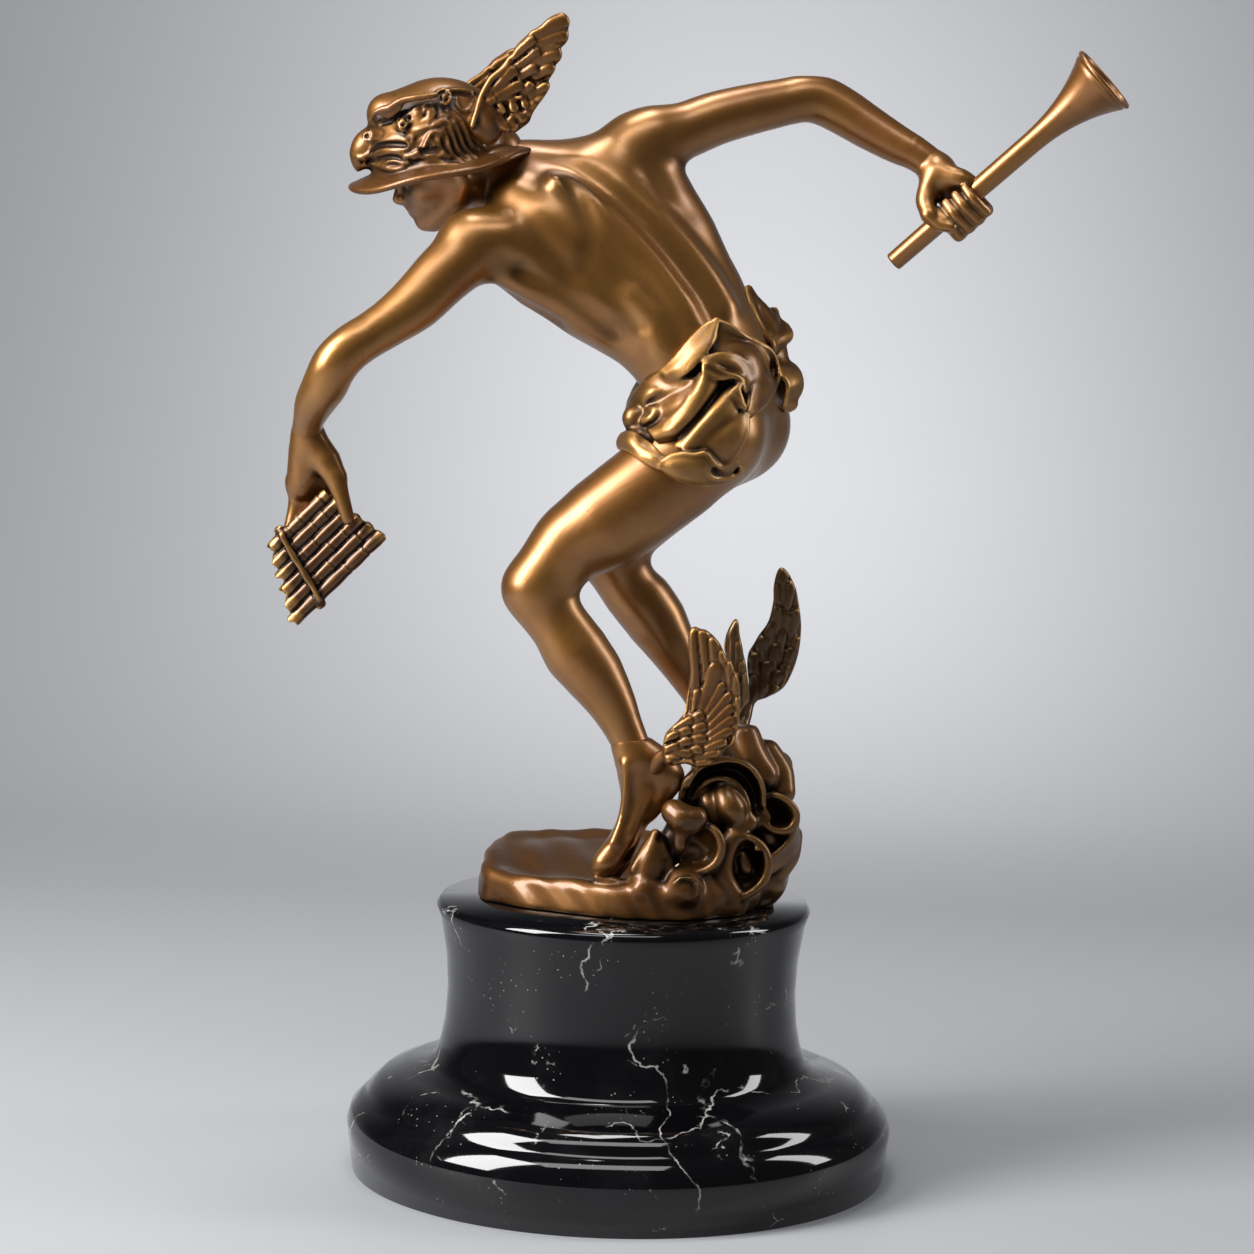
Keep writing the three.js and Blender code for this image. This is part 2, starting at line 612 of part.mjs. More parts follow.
function addFoot(clay, { ankle, heel, ball: sole, toes }) {
  clay.add(strand([[...ankle, 7.8], [...mix(ankle, sole, 0.45), 7.6], [...sole, 6.5]]), 5);
  clay.add(strand([[...plus(ankle, [2, 0, 3]), 7], [...heel, 7.2]]), 5);
  clay.add(strand([[...heel, 7], [...mix(heel, sole, 0.5), 5.5], [...sole, 6]]), 5);
  for (const { from, to, radius } of toes) {
    clay.add(strand([[...mix(ankle, from, 0.5), 5], [...from, radius + 1]]), 3);
    clay.add(strand([[...from, radius + 0.6], [...to, radius]]), 1.5);
  }
}

// Five toes between the big one, from its root to its tip, and the small one.
const toesFrom = (bigRoot, bigTip, smallRoot, smallTip) => range(5).map((i) => ({
  from: mix(bigRoot, smallRoot, i / 4),
  to: mix(bigTip, smallTip, i / 4),
  radius: lerp(4, 2.8, i / 4),
}));

const NEAR_FOOT = {
  ankle: [5, -30, 63],
  heel: [20, -29, 51],
  ball: [1, -34, 25],
  toes: toesFrom([-1, -25, 24], [-13, -26, 18], [3, -42, 20], [-6, -43, 14.5]),
};
const FAR_FOOT = {
  ankle: [38, 28, 78],
  heel: [50, 29, 66],
  ball: [33, 32, 42],
  toes: toesFrom([31, 24, 40], [20, 25, 33], [34, 40, 38], [26, 42, 31]),
};

function addHands(clay) {
  const fist = (along, up, out) => place(FIST, along, up, out);
  const palm = [[...fist(4, 16, -7), 8.5], [...fist(2, 6, -8), 9.5], [...fist(2, -6, -6), 8]];
  clay.add(strand([[129, 20, 322, 7.2], ...palm]), 5);
  clay.add(strand([[...fist(3, 20, -3), 6], [...fist(10, 10, 0), 6.2], [...fist(13, 2, -1), 5]]), 4);
  clay.add(strand([[...fist(-1, 19, -4), 6], [...fist(-9, 12, 1), 6.2], [...fist(-12.5, 6, 6), 4.4]]), 4);
  const thumb = [[...fist(-12.5, 6, 6), 4.2], [...fist(-12, 0, 8.5), 3.3], [...fist(-8.5, -5, 9.5), 3]];
  clay.add(strand(thumb), 2);
  const fingers = [[-8, 3.1], [-2, 3.2], [4.2, 3.1], [10.8, 2.7]];
  for (const [along, radius] of fingers) {
    const knuckle = fist(along, -11.5, -3);
    const bend = fist(along, -11.5, 5);
    clay.add(strand([[...fist(along * 0.9, -2, -9), radius + 1], [...knuckle, radius + 0.5]]), 3);
    clay.add(limb(knuckle, bend, radius + 0.3, radius), 1.2);
    const tip = fist(along, 5, 5.5);
    clay.add(strand([[...bend, radius], [...fist(along, -2, 8.6), radius], [...tip, radius - 0.3]]), 0.8);
  }
  const wrist = [-140.5, -23, 203, 6.6];
  clay.add(strand([wrist, [-141, -20, 195, 7.5], [-142, -17, 186, 7.3], [-143.5, -14.5, 179, 6]]), 5);
  clay.add(strand([[-139, -23, 201, 6], [-132, -24, 191, 6.4], [-127.5, -26, 184, 4.6]]), 4);
  clay.add(strand([[-127.5, -26, 184, 4.4], [-124.5, -27.5, 175, 3.4], [-122, -27, 166.5, 3]]), 2);
  for (const i of range(4)) {
    const root = mix([-146, -15, 181], [-133, -13, 187], i / 3);
    const middle = mix([-145.5, -12.5, 171], [-131, -11, 175], i / 3);
    const tip = place(RAFT, -10 + 5.5 * i, 10 - 2 * i, -6.4);
    clay.add(strand([[...root, 4.2], [...middle, 3.6], [...tip, 2.9]]), 2);
  }
}

// Head with a calm, regular face under the helmet.
function addHead(clay) {
  const add = (points, soft) => clay.add(strand(inFrame(HEAD, points)), soft);
  const press = (points, soft) => clay.press(strand(inFrame(HEAD, points)), soft);
  clay.add(egg(HEAD, 24, 18.5, 23.5), 3);
  add([[-4, 0, -12, 14], [8, 0, -16, 11], [14, 0, -21, 7.5]], 6);
  for (const side of BOTH_SIDES) {
    add([[-6, 12 * side, -10, 6], [-1, 11 * side, -18, 4.5], [12, 5 * side, -25, 4]], 4);
    add([[10, 11 * side, -8, 5], [15, 7 * side, -10, 5]], 5);
    press([[22, 7.5 * side, -2.5, 3.6]], 3);
  }
  add([[19, -7, 4, 4], [21, 0, 3.5, 4], [19, 7, 4, 4]], 3);
  add([[21.5, 0, 2, 2.4], [24.2, 0, -4.5, 2.3], [26, 0, -9.6, 2.6], [25.5, 0, -12, 2]], 2);
  add([[22.3, -2.6, -11.8, 1.9], [23.5, 0, -12.2, 2], [22.3, 2.6, -11.8, 1.9]], 1.5);
  add([[18.5, -5.2, -18, 1.4], [22.3, 0, -17.2, 2.2], [18.5, 5.2, -18, 1.4]], 1.5);
  add([[18.5, -4.6, -19.6, 1.5], [21.6, 0, -20.4, 2.2], [18.5, 4.6, -19.6, 1.5]], 1.5);
  add([[17.5, 0, -26, 4.8]], 3);
  for (const side of BOTH_SIDES) {
    add([[18, 7.2 * side, -3.2, 4]], 0.8);
    add([[-3, 17.5 * side, -1, 3], [-5, 18 * side, -7, 2.6], [-3.5, 16.5 * side, -12, 2]], 1.5);
  }
  add([[-14, 0, -14, 12], [-20, 0, -2, 12]], 6);
}

// Helmet: an eagle's head whose neck feathers spread into a wavy brim
const BRIM = { front: 41, side: 33.5, thick: 1.4 };
const BRIM_SEAT = -1.5;

function brimHeight(turn) {
  return -4.85 + 2.4 * Math.cos(turn) - 0.55 * Math.cos(2 * turn) + 0.7 * Math.sin(5 * turn + 1);
}

// The part of a shape that lies above a plane, square to a frame's up at a height in it.
function above(shape, frame, height) {
  const cut = dot(frame.origin, frame.u) + height;
  return { ...shape, distance: (...p) => Math.max(shape.distance(...p), cut - dot(p, frame.u)) };
}

function addHelmet(clay) {
  const add = (points, soft, shape) => clay.add(strand(inFrame(HEAD, points), shape), soft);
  const press = (points, soft) => clay.press(strand(inFrame(HEAD, points)), soft);
  const share = (q, s) => Math.hypot(q / BRIM.front, s / BRIM.side);
  const turn = (q, s) => Math.atan2(s / BRIM.side, q / BRIM.front);
  const out = (q, s) => (share(q, s) - 1) * BRIM.side;
  const rise = (q, s) => lerp(1, brimHeight(turn(q, s)), share(q, s) ** 2);
  clay.add(plate(HEAD, 44, out, rise, BRIM.thick), 2);
  const crown = egg(frameAt(place(HEAD, -2, 0, 3), HEAD.f, HEAD.u), 30.5, 24, 30.5);
  clay.add(above(crown, HEAD, BRIM_SEAT), 4);
  add([[10, 0, 20, 11], [16, 0, 23.5, 9]], 5);
  const beak = [[20, 0, 13, 9], [27, 0, 12, 8], [30.5, 0, 9.8, 6.6], [33.4, 0, 7, 3.7], [35.2, 0, 4.2, 1.3]];
  add(beak, 2, { flat: 0.85, side: HEAD.l });
  add([[27.5, 0, 4.6, 3], [20, 0, 5.5, 6.5], [12, 0, 5, 12]], 2);
  for (const side of BOTH_SIDES) {
    press([
      [31, 3.5 * side, 6.6, 0.9], [26, 7.5 * side, 8.8, 1.2], [21, 10 * side, 11, 1.3],
      [12, 14.5 * side, 10.2, 1.3],
    ], 1);
    press([[16, 16 * side, 20, 3], [8, 20 * side, 19.5, 3.6], [1, 21 * side, 20, 2.6]], 3);
    add([[8.7, 17.6 * side, 18.4, 3.4]], 1);
    add([
      [23, 8.5 * side, 25, 1.6], [18, 12 * side, 26.7, 2.3], [10.5, 14.5 * side, 26.5, 2.6],
      [3.4, 16.5 * side, 27.4, 2.4], [-2, 17.5 * side, 27.4, 2.2], [-7.4, 18 * side, 26.4, 2.2],
      [-11.6, 17.5 * side, 24, 2.4], [-9.5, 18.5 * side, 21.6, 2],
    ], 1.5);
    add([
      [27, 6.5 * side, 5.4, 1.6], [19, 12 * side, 5.4, 1.8], [7, 19.5 * side, 5.2, 1.8],
      [-3, 23 * side, 5.4, 1.5],
    ], 1.2);
  }
}

// Rock under the front foot and the base
const SLAB = [
  [-63, -12], [-54, -20], [-45, -29], [-27, -38], [-10, -47], [7, -50.5], [24, -52], [41, -43], [55, -15],
  [63, 12], [50, 42], [10, 52], [-35, 50], [-58, 38], [-64, 10],
];
const CLOUDS = [
  [46, 2, 12, 24], [46, 4, 30, 22], [49, 8, 50, 15], [51, 10, 62, 9], [18, -26, 8, 16], [14, -32, 14, 11],
  [34, 28, 16, 20], [32, 32, 26, 12], [28, 10, 10, 20], [26, -14, 30, 14], [34, -22, 46, 11],
  [52.9, 5, 68.5, 6.5], [64, 4, 52, 7], [69, 2, 36, 7], [71, 0, 26, 6], [64, -2, 14, 8],
  [25, -36, 45, 7], [8.7, -43, 12, 6], [25.4, -43, 12.4, 8.4], [12, -38, 31, 5], [6, -38, 21, 4.5],
  [16, -38, 17, 5],
  [44, 40, 12, 12], [60, 28, 14, 13], [58, 24, 38, 11], [50, 34, 52, 8], [20, 44, 12, 10], [36, 46, 30, 8],
];
const CLOUD_BANDS = [
  [[25, -27, 53, 5], [36, -26, 60, 5.5], [45, -22, 64, 6], [54, -20, 59.5, 6], [59, -20, 50, 5.5],
    [61, -20, 40, 5]],
  [[61, -18, 42, 4], [66, -14, 35, 4], [72, -12, 38, 4], [70, -12, 46, 3.5], [64, -16, 47, 3]],
  [[27, -34, 52, 4], [37, -34, 46, 4.4], [43, -36, 34, 4.4], [40, -38, 25, 4], [32, -40, 20, 4],
    [25, -40, 21, 3.6]],
  [[44, -30, 34, 3], [45, -32, 14, 3.4], [51, -30, 8, 4], [57, -26, 14, 3.6], [60, -22, 25, 3.2],
    [56, -24, 31, 3]],
];

function addRock(clay) {
  const level = frameAt([0, 0, 0], [1, 0, 0], [0, 0, 1]);
  const top = (x, y) => 14 + 9 * smooth(-30, 44, y) - 2.5 * smooth(4, 16, -outside(SLAB, x, y));
  const shape = plate(level, 80, (x, y) => outside(SLAB, x, y), () => 0, 4);
  const distance = (x, y, z) => {
    const a = outside(SLAB, x, y) + 4;
    const b = z - top(x, y) + 4;
    return Math.hypot(Math.max(a, 0), Math.max(b, 0)) + Math.min(Math.max(a, b), 0) - 4;
  };
  clay.add({ ...shape, distance }, 2);
  for (const lump of CLOUDS) clay.add(ball(lump), 4);
  for (const band of CLOUD_BANDS) clay.add(strand(band), 2.5);
}

// Wings, each a flat fan whose points are given forward along it and to its left. A feather has its root, tip
// and half its width.
const HELMET_WING = {
  outline: [
    [2, 8.4], [7.6, 10.7], [13, 11.8], [18, 11.2], [22.9, 9.4], [29.7, 8.4], [34.8, 8.4], [40.8, 7.9],
    [47.3, 6.7],
    [52.9, 4.5], [57.5, 2], [58.5, -1.4], [56.4, -3.4], [51.3, -6.4], [45.8, -7.2], [42.1, -9.3],
    [37.9, -9.1],
    [33.9, -10.8], [29.7, -12.2], [24.4, -13.3], [18.9, -12.9], [14, -13.3], [8.6, -12.9], [3.7, -10.1],
    [0, -6.4],
    [-2.5, 0.1], [-2.4, 5.9],
  ],
  feathers: [
    [43.7, 5.3, 55.1, -0.2, 3.3], [41, 0.3, 50.6, -4.6, 2.6], [34, -3.5, 42.3, -7, 3],
    [29.1, -6.9, 34.9, -8.9, 2.6],
    [21, -8.4, 28.2, -11.2, 3], [10.9, -10.3, 19.4, -10.6, 3], [5.6, -5.6, 4.5, -8.5, 2.6],
    [33.9, 8.3, 40.4, 5.6, 2.4], [18.7, 6.5, 27.1, 4.1, 3.5], [31, 3.7, 39, 1, 2.3],
    [16.2, 2.7, 23.5, -1, 2.6],
    [26, -0.3, 31.7, -2.5, 2.3], [22, -4.1, 26.2, -4.8, 2.1], [9.7, 7, 11.7, 4.8, 3],
    [6.7, 0.2, 11.4, -0.6, 2.6],
    [11, -3, 14.6, -4.6, 2.3], [14.9, -1.3, 19.2, -4.5, 1.4], [15.5, -6.5, 19.1, -7.2, 2.3],
  ],
  ridges: [
    [[1, 8, 0, 2.4], [8, 10.2, 0, 2], [14, 10.6, 0, 1.8], [20, 9.6, 0, 1.8], [28, 8.8, 0, 1.8]],
    [[-4, 5, 0, 3.4], [0, 1, 0, 4], [3, -4, 0, 3.4]],
  ],
};
const NEAR_ANKLE_WING = {
  outline: [
    [-3, 6.8], [8.2, 7], [14.2, 4.2], [19.6, -2.1], [26.5, -5.8], [32.6, -8.2], [35.1, -5.5], [46.2, -3.1],
    [54.7, -2.6], [57.7, -4.5], [56.5, -7.5], [54.9, -11.8], [49.9, -16.2], [44, -20.6], [36.4, -23.8],
    [29.6, -24.8], [19.3, -24.7], [9.8, -23.3], [3.7, -20], [-0.8, -13.3], [-5, -4.8],
  ],
  feathers: [
    [36, -6.8, 55.2, -4.3, 2.3], [32.7, -11.6, 53.6, -9.3, 3], [34.5, -16.6, 49, -14.3, 2.3],
    [32, -20.1, 44, -18.5, 2.1],
    [17.5, -22.6, 29.5, -22.7, 1.9], [9.7, -22, 19.2, -23, 1.7], [25.8, -10, 39.6, -15.2, 3],
    [20.7, -14.4, 32.8, -17.9, 2.6],
    [13.8, -14.6, 24.3, -19.4, 2.4], [8.7, -14.8, 19.1, -20, 2.3], [4.4, -14, 13.1, -19.8, 2.1],
    [1.7, -12.4, 7.9, -17.3, 2.1],
    [-1.8, -8.2, 1.8, -13.2, 1.9], [17, -4.7, 25.7, -6.2, 2.3], [13.7, -7.8, 20.6, -8, 2.4],
    [8.5, -7.9, 13.7, -8.7, 2.4],
    [3.4, -8.1, 7.7, -8.8, 2.3], [-0.1, -9, 2.5, -9.8, 1.9], [14.4, -2.2, 17, -1.3, 2.1],
    [8.3, 1.4, 14.3, 0.3, 2.4],
    [7.3, 4.8, 11.6, 4.9, 2.1], [7.5, -1.6, 11.8, -1.5, 1.9], [2.4, -3.4, 6.7, -2.4, 2.3],
    [3.1, 1.7, 7.4, 2.7, 2.3],
    [-1.2, 4.2, 2.2, 4.7, 2.1], [-1.1, -0.5, 2.3, 0.4, 2.1],
  ],
  ridges: [[[4, 0, 0, 4], [1, 8, -5, 5.5], [-4, 13, -8, 6.5]]],
};
const INNER_ANKLE_WING = {
  outline: [
    [44.3, -17.7], [53, -19.2], [59.6, -23.3], [57.5, -25.3], [51.4, -25], [46.2, -26.1], [39.4, -28.2],
    [30.7, -29.7], [23.7, -29.5], [18.4, -24.5], [6, -16.1], [-4, -5.1], [5.5, 3.7], [23.2, -8.8],
  ],
  feathers: [
    [44.4, -20.7, 57.9, -23.5, 2.3], [37.5, -22.6, 49.7, -24.6, 1.7], [39.2, -23.9, 44.5, -25.5, 1.6],
    [34.1, -24.9, 40.2, -26.9, 1.6], [28.9, -25.9, 35, -27.9, 1.6], [23.7, -26.5, 29.8, -28.5, 1.5],
    [20.2, -26.1, 25.4, -28.1, 1.4], [17.9, -5, 30.1, -6.4, 2.1],
  ],
  ridges: [[[4, -3, 0, 4], [0, 7, 4, 5.5], [-3, 12, 7, 6.5]]],
};
const FAR_ANKLE_WING = {
  outline: [
    [18.2, 3.7], [24.6, 1.2], [31, -2.2], [39.2, -5.6], [47.4, -7.6], [56.4, -7.6], [61.1, -10.3],
    [59.3, -14],
    [53.9, -17.7], [46.8, -19.5], [41.4, -20.6], [34.2, -20.8], [24.2, -19.5], [15.1, -16.6], [7.8, -11.9],
    [2.2, -7.5], [-1, -1.3], [3.8, 3.3],
  ],
  feathers: [
    [48.4, -9.8, 59.2, -10.4, 2.3], [47.5, -13.4, 57.4, -13.1, 2.1], [43.1, -16.7, 53.5, -15.9, 2.3],
    [34.1, -18.3, 41.4, -18.5, 2.1], [34.8, -6.6, 46.5, -9, 1.9], [33.1, -11.1, 43, -12.7, 2.3],
    [27.5, -4.1, 36.6, -7, 1.6],
    [22, -1.6, 31.1, -4.9, 1.6], [17.4, 0.1, 23.8, -2.4, 1.6], [29.5, -14.8, 30.5, -17.5, 1.7],
    [22.4, -16.8, 22.4, -17.3, 2.1],
    [11.4, -11.8, 16.8, -12.5, 2.4], [22.1, -7.9, 27.6, -10.4, 1.9], [14.8, -4.5, 20.3, -7, 1.9],
    [11.1, -0.5, 12.9, -1.8, 2.1],
    [4.8, -2.1, 6.6, -2.9, 2.1], [5.8, -7.4, 7.7, -11, 1.7],
  ],
  ridges: [[[8, -4, 0, 3.5], [0, 2, 2, 3], [-8, 4, 6, 3], [-16, 8, 10, 5]]],
};
const WING_THICKNESS = 3;
const WINGS = [
  { form: HELMET_WING, size: 1, frame: frameAt([-66, -17, 334], [33, -6, 49], [0.12, -0.99, -0.05]) },
  { form: HELMET_WING, size: 0.84, frame: frameAt([-80, 22, 338], [33, 8, 36], [0.2, -0.95, -0.2]) },
  { form: NEAR_ANKLE_WING, size: 1, frame: frameAt([22, -41, 68], [0, 0, 1], [0, -1, 0]) },
  { form: INNER_ANKLE_WING, size: 1, frame: frameAt([22, -21, 68], [0, 0, 1], [0, -1, 0]) },
  { form: FAR_ANKLE_WING, size: 1, frame: frameAt([56, 40, 84], [0, 0, 1], [0, -1, 0]) },
];

function addWing(clay, { form, size, frame }) {
  const outline = form.outline.map((p) => times(p, size));
  const half = WING_THICKNESS / 2;
  clay.add(plate(frame, 70, (q, s) => outside(outline, q, s), () => 0, half), 2);
  for (const [rootF, rootL, tipF, tipL, radius] of form.feathers) {
    const feather = [[rootF, rootL, 0, 0.8 * radius], [tipF, tipL, 0, radius]].map((p) => times(p, size));
    clay.add(strand(inFrame(frame, feather), { steps: 1, flat: (half + 0.8) / radius, side: frame.u }), 0.6);
  }
  for (const ridge of form.ridges) clay.add(strand(inFrame(frame, ridge.map((p) => times(p, size)))), 2);
}

// Cloth round the hips: two full forms, rolled edges laid on them and valleys pressed between the folds
const CLOTH_FORMS = [
  { at: [28, -18, 225], along: [0.85, 0, 0.5], radii: [31, 19, 23] },
  { at: [42, 15, 236], along: [0.5, 0, 0.85], radii: [26, 19, 22] },
];
const CLOTH_BANDS = [
  [[0, -22, 212, 6], [4, -8, 215, 9], [8, 6, 221, 10], [16, 18, 230, 11], [30, 28, 238, 9]],
  [[47, 12, 262, 6], [54, 16, 252, 8], [58, 16, 240, 8]],
  [[62, 12, 232, 7], [66, 15, 226, 6]],
];
const CLOTH_ROLLS = [
  [[1, -25, 222, 3], [10, -32, 232, 2.6], [17, -35, 239, 2.4], [28, -33, 249, 2.4], [34, -29, 255, 2.4],
    [46, -24, 249, 2.4],
    [56, -17, 243, 2.4], [62, -13, 237, 2.4], [62, -13, 230, 2.4], [57, -18, 226, 2]],
  [[30, -38, 236, 2.4], [35, -37, 240, 2.2], [44, -34, 239, 2.2], [50, -31, 235, 2.2], [54, -27, 231, 2.2]],
  [[32, -39, 233, 2], [38, -38, 231, 2.2], [45, -37, 232, 2.2], [48, -34, 229, 2.2], [43, -38, 224, 2],
    [49, -37, 219, 2]],
  [[31, -37, 235, 3.4], [24, -39, 226, 3.8], [18, -40, 218, 3.8], [13, -40, 212, 3.8], [1, -35, 207, 3.4]],
  [[26, -39, 226, 2.8], [16, -38, 222, 2.8], [6, -32, 215, 2.8], [-3, -24, 209, 2.6]],
  [[20, -44, 203, 3], [29, -43, 215, 3.2], [40, -40, 223, 3], [47, -35, 226, 2.4]],
  [[50, -38, 216, 2], [49, -40, 207, 2.2], [45, -41, 198, 2.2], [38, -43, 193, 2.2]],
  [[56, -27, 217, 2.4], [48, -35, 214, 2]],
  [[-4, 4, 205, 4], [-7, -10, 203, 4.4], [-8, -22, 202, 4], [-2, -34, 200, 4.2], [9, -42, 195, 4.4],
    [16, -45, 191, 4.8],
    [26, -44, 188, 5], [36, -40, 188, 4.4], [44, -35, 192, 3.4], [48, -28, 196, 2.4]],
  [[34, -43, 199, 4], [40, -42, 204, 4.4], [45, -38, 209, 3]],
  [[45, 10, 268, 2], [49, 17, 266, 2], [50, 20, 260, 2.2], [55, 21, 257, 2.2], [59, 20, 259, 2.2],
    [59, 20, 254, 2.4],
    [65, 20, 252, 2.4], [67, 19, 248, 2.4], [63, 18, 244, 2.2], [60, 14, 239, 2]],
  [[61, 13, 234, 2], [68, 17, 235, 2.2], [72, 19, 230, 2.4], [71, 19, 222, 2.4], [68, 16, 217, 2.2],
    [64, 12, 217, 2]],
];
const CLOTH_VALLEYS = [
  [[38, -34, 247, 3], [47, -31, 243, 3.6], [55, -25, 236, 3]],
  [[15, -44, 205, 2], [22, -46, 211, 2.4], [29, -45, 220, 2.8], [38, -40, 228, 2.2]],
  [[2, -32, 213, 1.6], [12, -39, 217, 1.8], [20, -42, 223, 1.6]],
  [[2, -36, 203, 1.6], [14, -46, 200, 2], [26, -49, 196, 2]],
  [[14, -36, 231, 2], [22, -38, 238, 2.2], [29, -37, 243, 2]],
  [[51, -33, 224, 2], [52, -34, 218, 2]],
];

function addCloth(clay) {
  for (const { at, along, radii } of CLOTH_FORMS) {
    clay.add(egg(frameAt(at, along, [-along[2], 0, along[0]]), ...radii), 3);
  }
  for (const band of CLOTH_BANDS) clay.add(strand(band), 4);
  for (const roll of CLOTH_ROLLS) clay.add(strand(roll), 1.6);
  for (const valley of CLOTH_VALLEYS) clay.press(strand(valley), 1.6);
}

function sculpt() {
  const clay = new Clay([-165, -62, -6], [175, 62, 392], CLAY_CELL / SCALE);
  addTrunk(clay);
  const limbs = [NEAR_THIGH, NEAR_SHIN, FAR_THIGH, FAR_SHIN, NEAR_ARM, FAR_ARM];
  for (const points of limbs) clay.add(strand(points), 6);
  addHands(clay);
  addHead(clay);
  addHelmet(clay);
  addCloth(clay);
  addFoot(clay, NEAR_FOOT);
  addFoot(clay, FAR_FOOT);
  addRock(clay);
  for (const wing of WINGS) addWing(clay, wing);
  clay.close();
  return new Skin(clay.skin()).simplify(FIGURE_TRIANGLES).geometry();
}

// Places a solid turned round +Z so that its axis runs along a frame's forward.
function alongFrame(geometry, { origin, f, l, u }) {
  const [x, y, z, at] = [l, u, f, origin].map((v) => new THREE.Vector3(...v));
  return geometry.applyMatrix4(new THREE.Matrix4().makeBasis(x, y, z).setPosition(at));
}

function turned(profile, sides) {
  return new THREE.LatheGeometry(profile.map((p) => new THREE.Vector2(...p)), sides).rotateX(Math.PI / 2);
}

// What the hands hold has its own sizes, and only its place goes with the figure.
const heldAt = (frame) => ({ ...frame, origin: times(frame.origin, SCALE) });
const HORN = heldAt(FIST);
const PIPES = heldAt(RAFT);

// Trumpet: a straight rod that opens into a hollow bell
function trumpetGeometry(margin = 0) {
  const start = -TRUMPET_GRIP;
  const end = start + TRUMPET_LENGTH;
  const bell = end - TRUMPET_BELL_LENGTH;
  const flare = (share) => lerp(TRUMPET_NECK_RADIUS, TRUMPET_BELL_RADIUS, share ** 2.4);
  const shares = [0, 0.25, 0.45, 0.62, 0.78, 0.9, 1];
  const outer = shares.map((share) => [flare(share) + margin, lerp(bell, end, share)]);
  const inner = (share) => [flare(share) - TRUMPET_WALL, lerp(bell, end, share)];
  const bore = [0.94, 0.78, 0.6, 0.4, 0.15].map(inner);
  const lip = [flare(1) - TRUMPET_WALL, end];
  const tailRadius = TRUMPET_TAIL_RADIUS + margin;
  const tail = [[0, start - margin], [tailRadius - 0.8, start - margin], [tailRadius, start + 1]];
  const mouth = margin > 0 ? [[0, end]] : [lip, ...bore, [0, end - TRUMPET_BORE_DEPTH]];
  const profile = [...tail, ...outer, ...mouth];
  return alongFrame(turned(profile, TRUMPET_SIDES), HORN);
}

// Panpipes: a raft of pipes side by side, each with a raised node, and the cord that ties them
function pipesGeometry(margin = 0) {
  const across = (i) => ((PIPE_COUNT - 1) / 2 - i) * PIPE_PITCH;
  const radius = PIPE_RADIUS + margin;
  const bodies = range(PIPE_COUNT).map((i) => {
    const low = PIPE_TOP_LOW - i * (PIPE_STEP - PIPE_END_STEP);
    const high = PIPE_TOP_LOW + PIPE_SHORTEST + i * PIPE_END_STEP;
    const node = lerp(low, high, 0.35 + 0.09 * (i % 3));
    const profile = [
      [0, low - margin], [radius - 0.7, low - margin], [radius, low + 0.8], [radius, node - 1],
      [radius + PIPE_RING_HEIGHT, node], [radius, node + 1], [radius, high - 1],
      [radius - 1.2, high + margin],
      [0, high + margin],
    ];
    return alongFrame(turned(profile, PIPE_SIDES), { ...PIPES, origin: place(PIPES, 0, across(i), 0) });
  });
  return bodies;
}

function cordGeometry(margin = 0) {
  const half = ((PIPE_COUNT - 1) / 2) * PIPE_PITCH + PIPE_RADIUS + 0.6;
  const front = PIPE_RADIUS + 0.7;
  const bend = half - 2.5;
  const loop = [
    [half, 0], [bend, front], [0, front], [-bend, front], [-half, 0], [-bend, -front], [0, -front],
    [bend, -front],
  ];
  const points = loop.map(([l, u]) => {
    const forward = lerp(CORD_LOW, CORD_HIGH, (l + half) / (2 * half));
    return new THREE.Vector3(...place(PIPES, forward, l, u));
  });
  const curve = new THREE.CatmullRomCurve3(points, true, "catmullrom", 0.35);
  return new THREE.TubeGeometry(curve, 16, TIE_RADIUS + margin, 5, true);
}

const union = (solids) => wasm.Manifold.union(solids);
const level = PLINTH_HEIGHT + BED_GAP;
const block = new THREE.BoxGeometry(FIGURE_HEIGHT, FIGURE_HEIGHT, FIGURE_HEIGHT);
const floor = solid(block.translate(0, 0, -FIGURE_HEIGHT / 2));
const trumpetRoom = solid(trumpetGeometry(GRIP_CLEARANCE + 0.1));
const heldPipes = [...pipesGeometry(GRIP_CLEARANCE + 0.15), cordGeometry(GRIP_CLEARANCE + 0.35)];
const pipesRoom = union(heldPipes.map(solid));
const pipes = union([...pipesGeometry().map(solid), solid(cordGeometry())]);
const plinth = solid(turned([[0, 0], ...PLINTH_PROFILE, [0, PLINTH_HEIGHT]], PLINTH_SIDES));
const mercury = solid(sculpt()).scale(SCALE).subtract(union([floor, trumpetRoom, pipesRoom]));

const bronze = { color: 0x8a5a24, roughness: 0.35, metalness: 1 };
const darkBronze = { color: 0x5d4026, roughness: 0.45, metalness: 1 };
const marble = { color: 0x0b0c0e, roughness: 0.12, metalness: 0 };

const group = new THREE.Group();

function addNode(name, body, look, height) {
  const mesh = new THREE.Mesh(geometryOf(body), new THREE.MeshStandardMaterial(look));
  mesh.name = name;
  mesh.position.z = height;
  group.add(mesh);
}

addNode("marble_plinth", plinth, marble, 0);
addNode("mercury_figure", mercury, bronze, level);
addNode("trumpet", solid(trumpetGeometry()), bronze, level);
addNode("panpipes", pipes, darkBronze, level);

export default group;
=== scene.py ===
"""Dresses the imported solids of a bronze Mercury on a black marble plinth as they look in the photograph.

Every bronze form is laid on as clay, in millimetres above the plinth, on a grid of distances to its skin. The
skin is taken off that grid as a mesh. Lengths are millimetres until a mesh is made, and metres from there on.
The near sides of rock and cloth, the near foot, the wings and the helmet's eagle are rows of the
photograph's pixels with a depth or a lift in millimetres. The other forms are rows of millimetres.
"""
import math

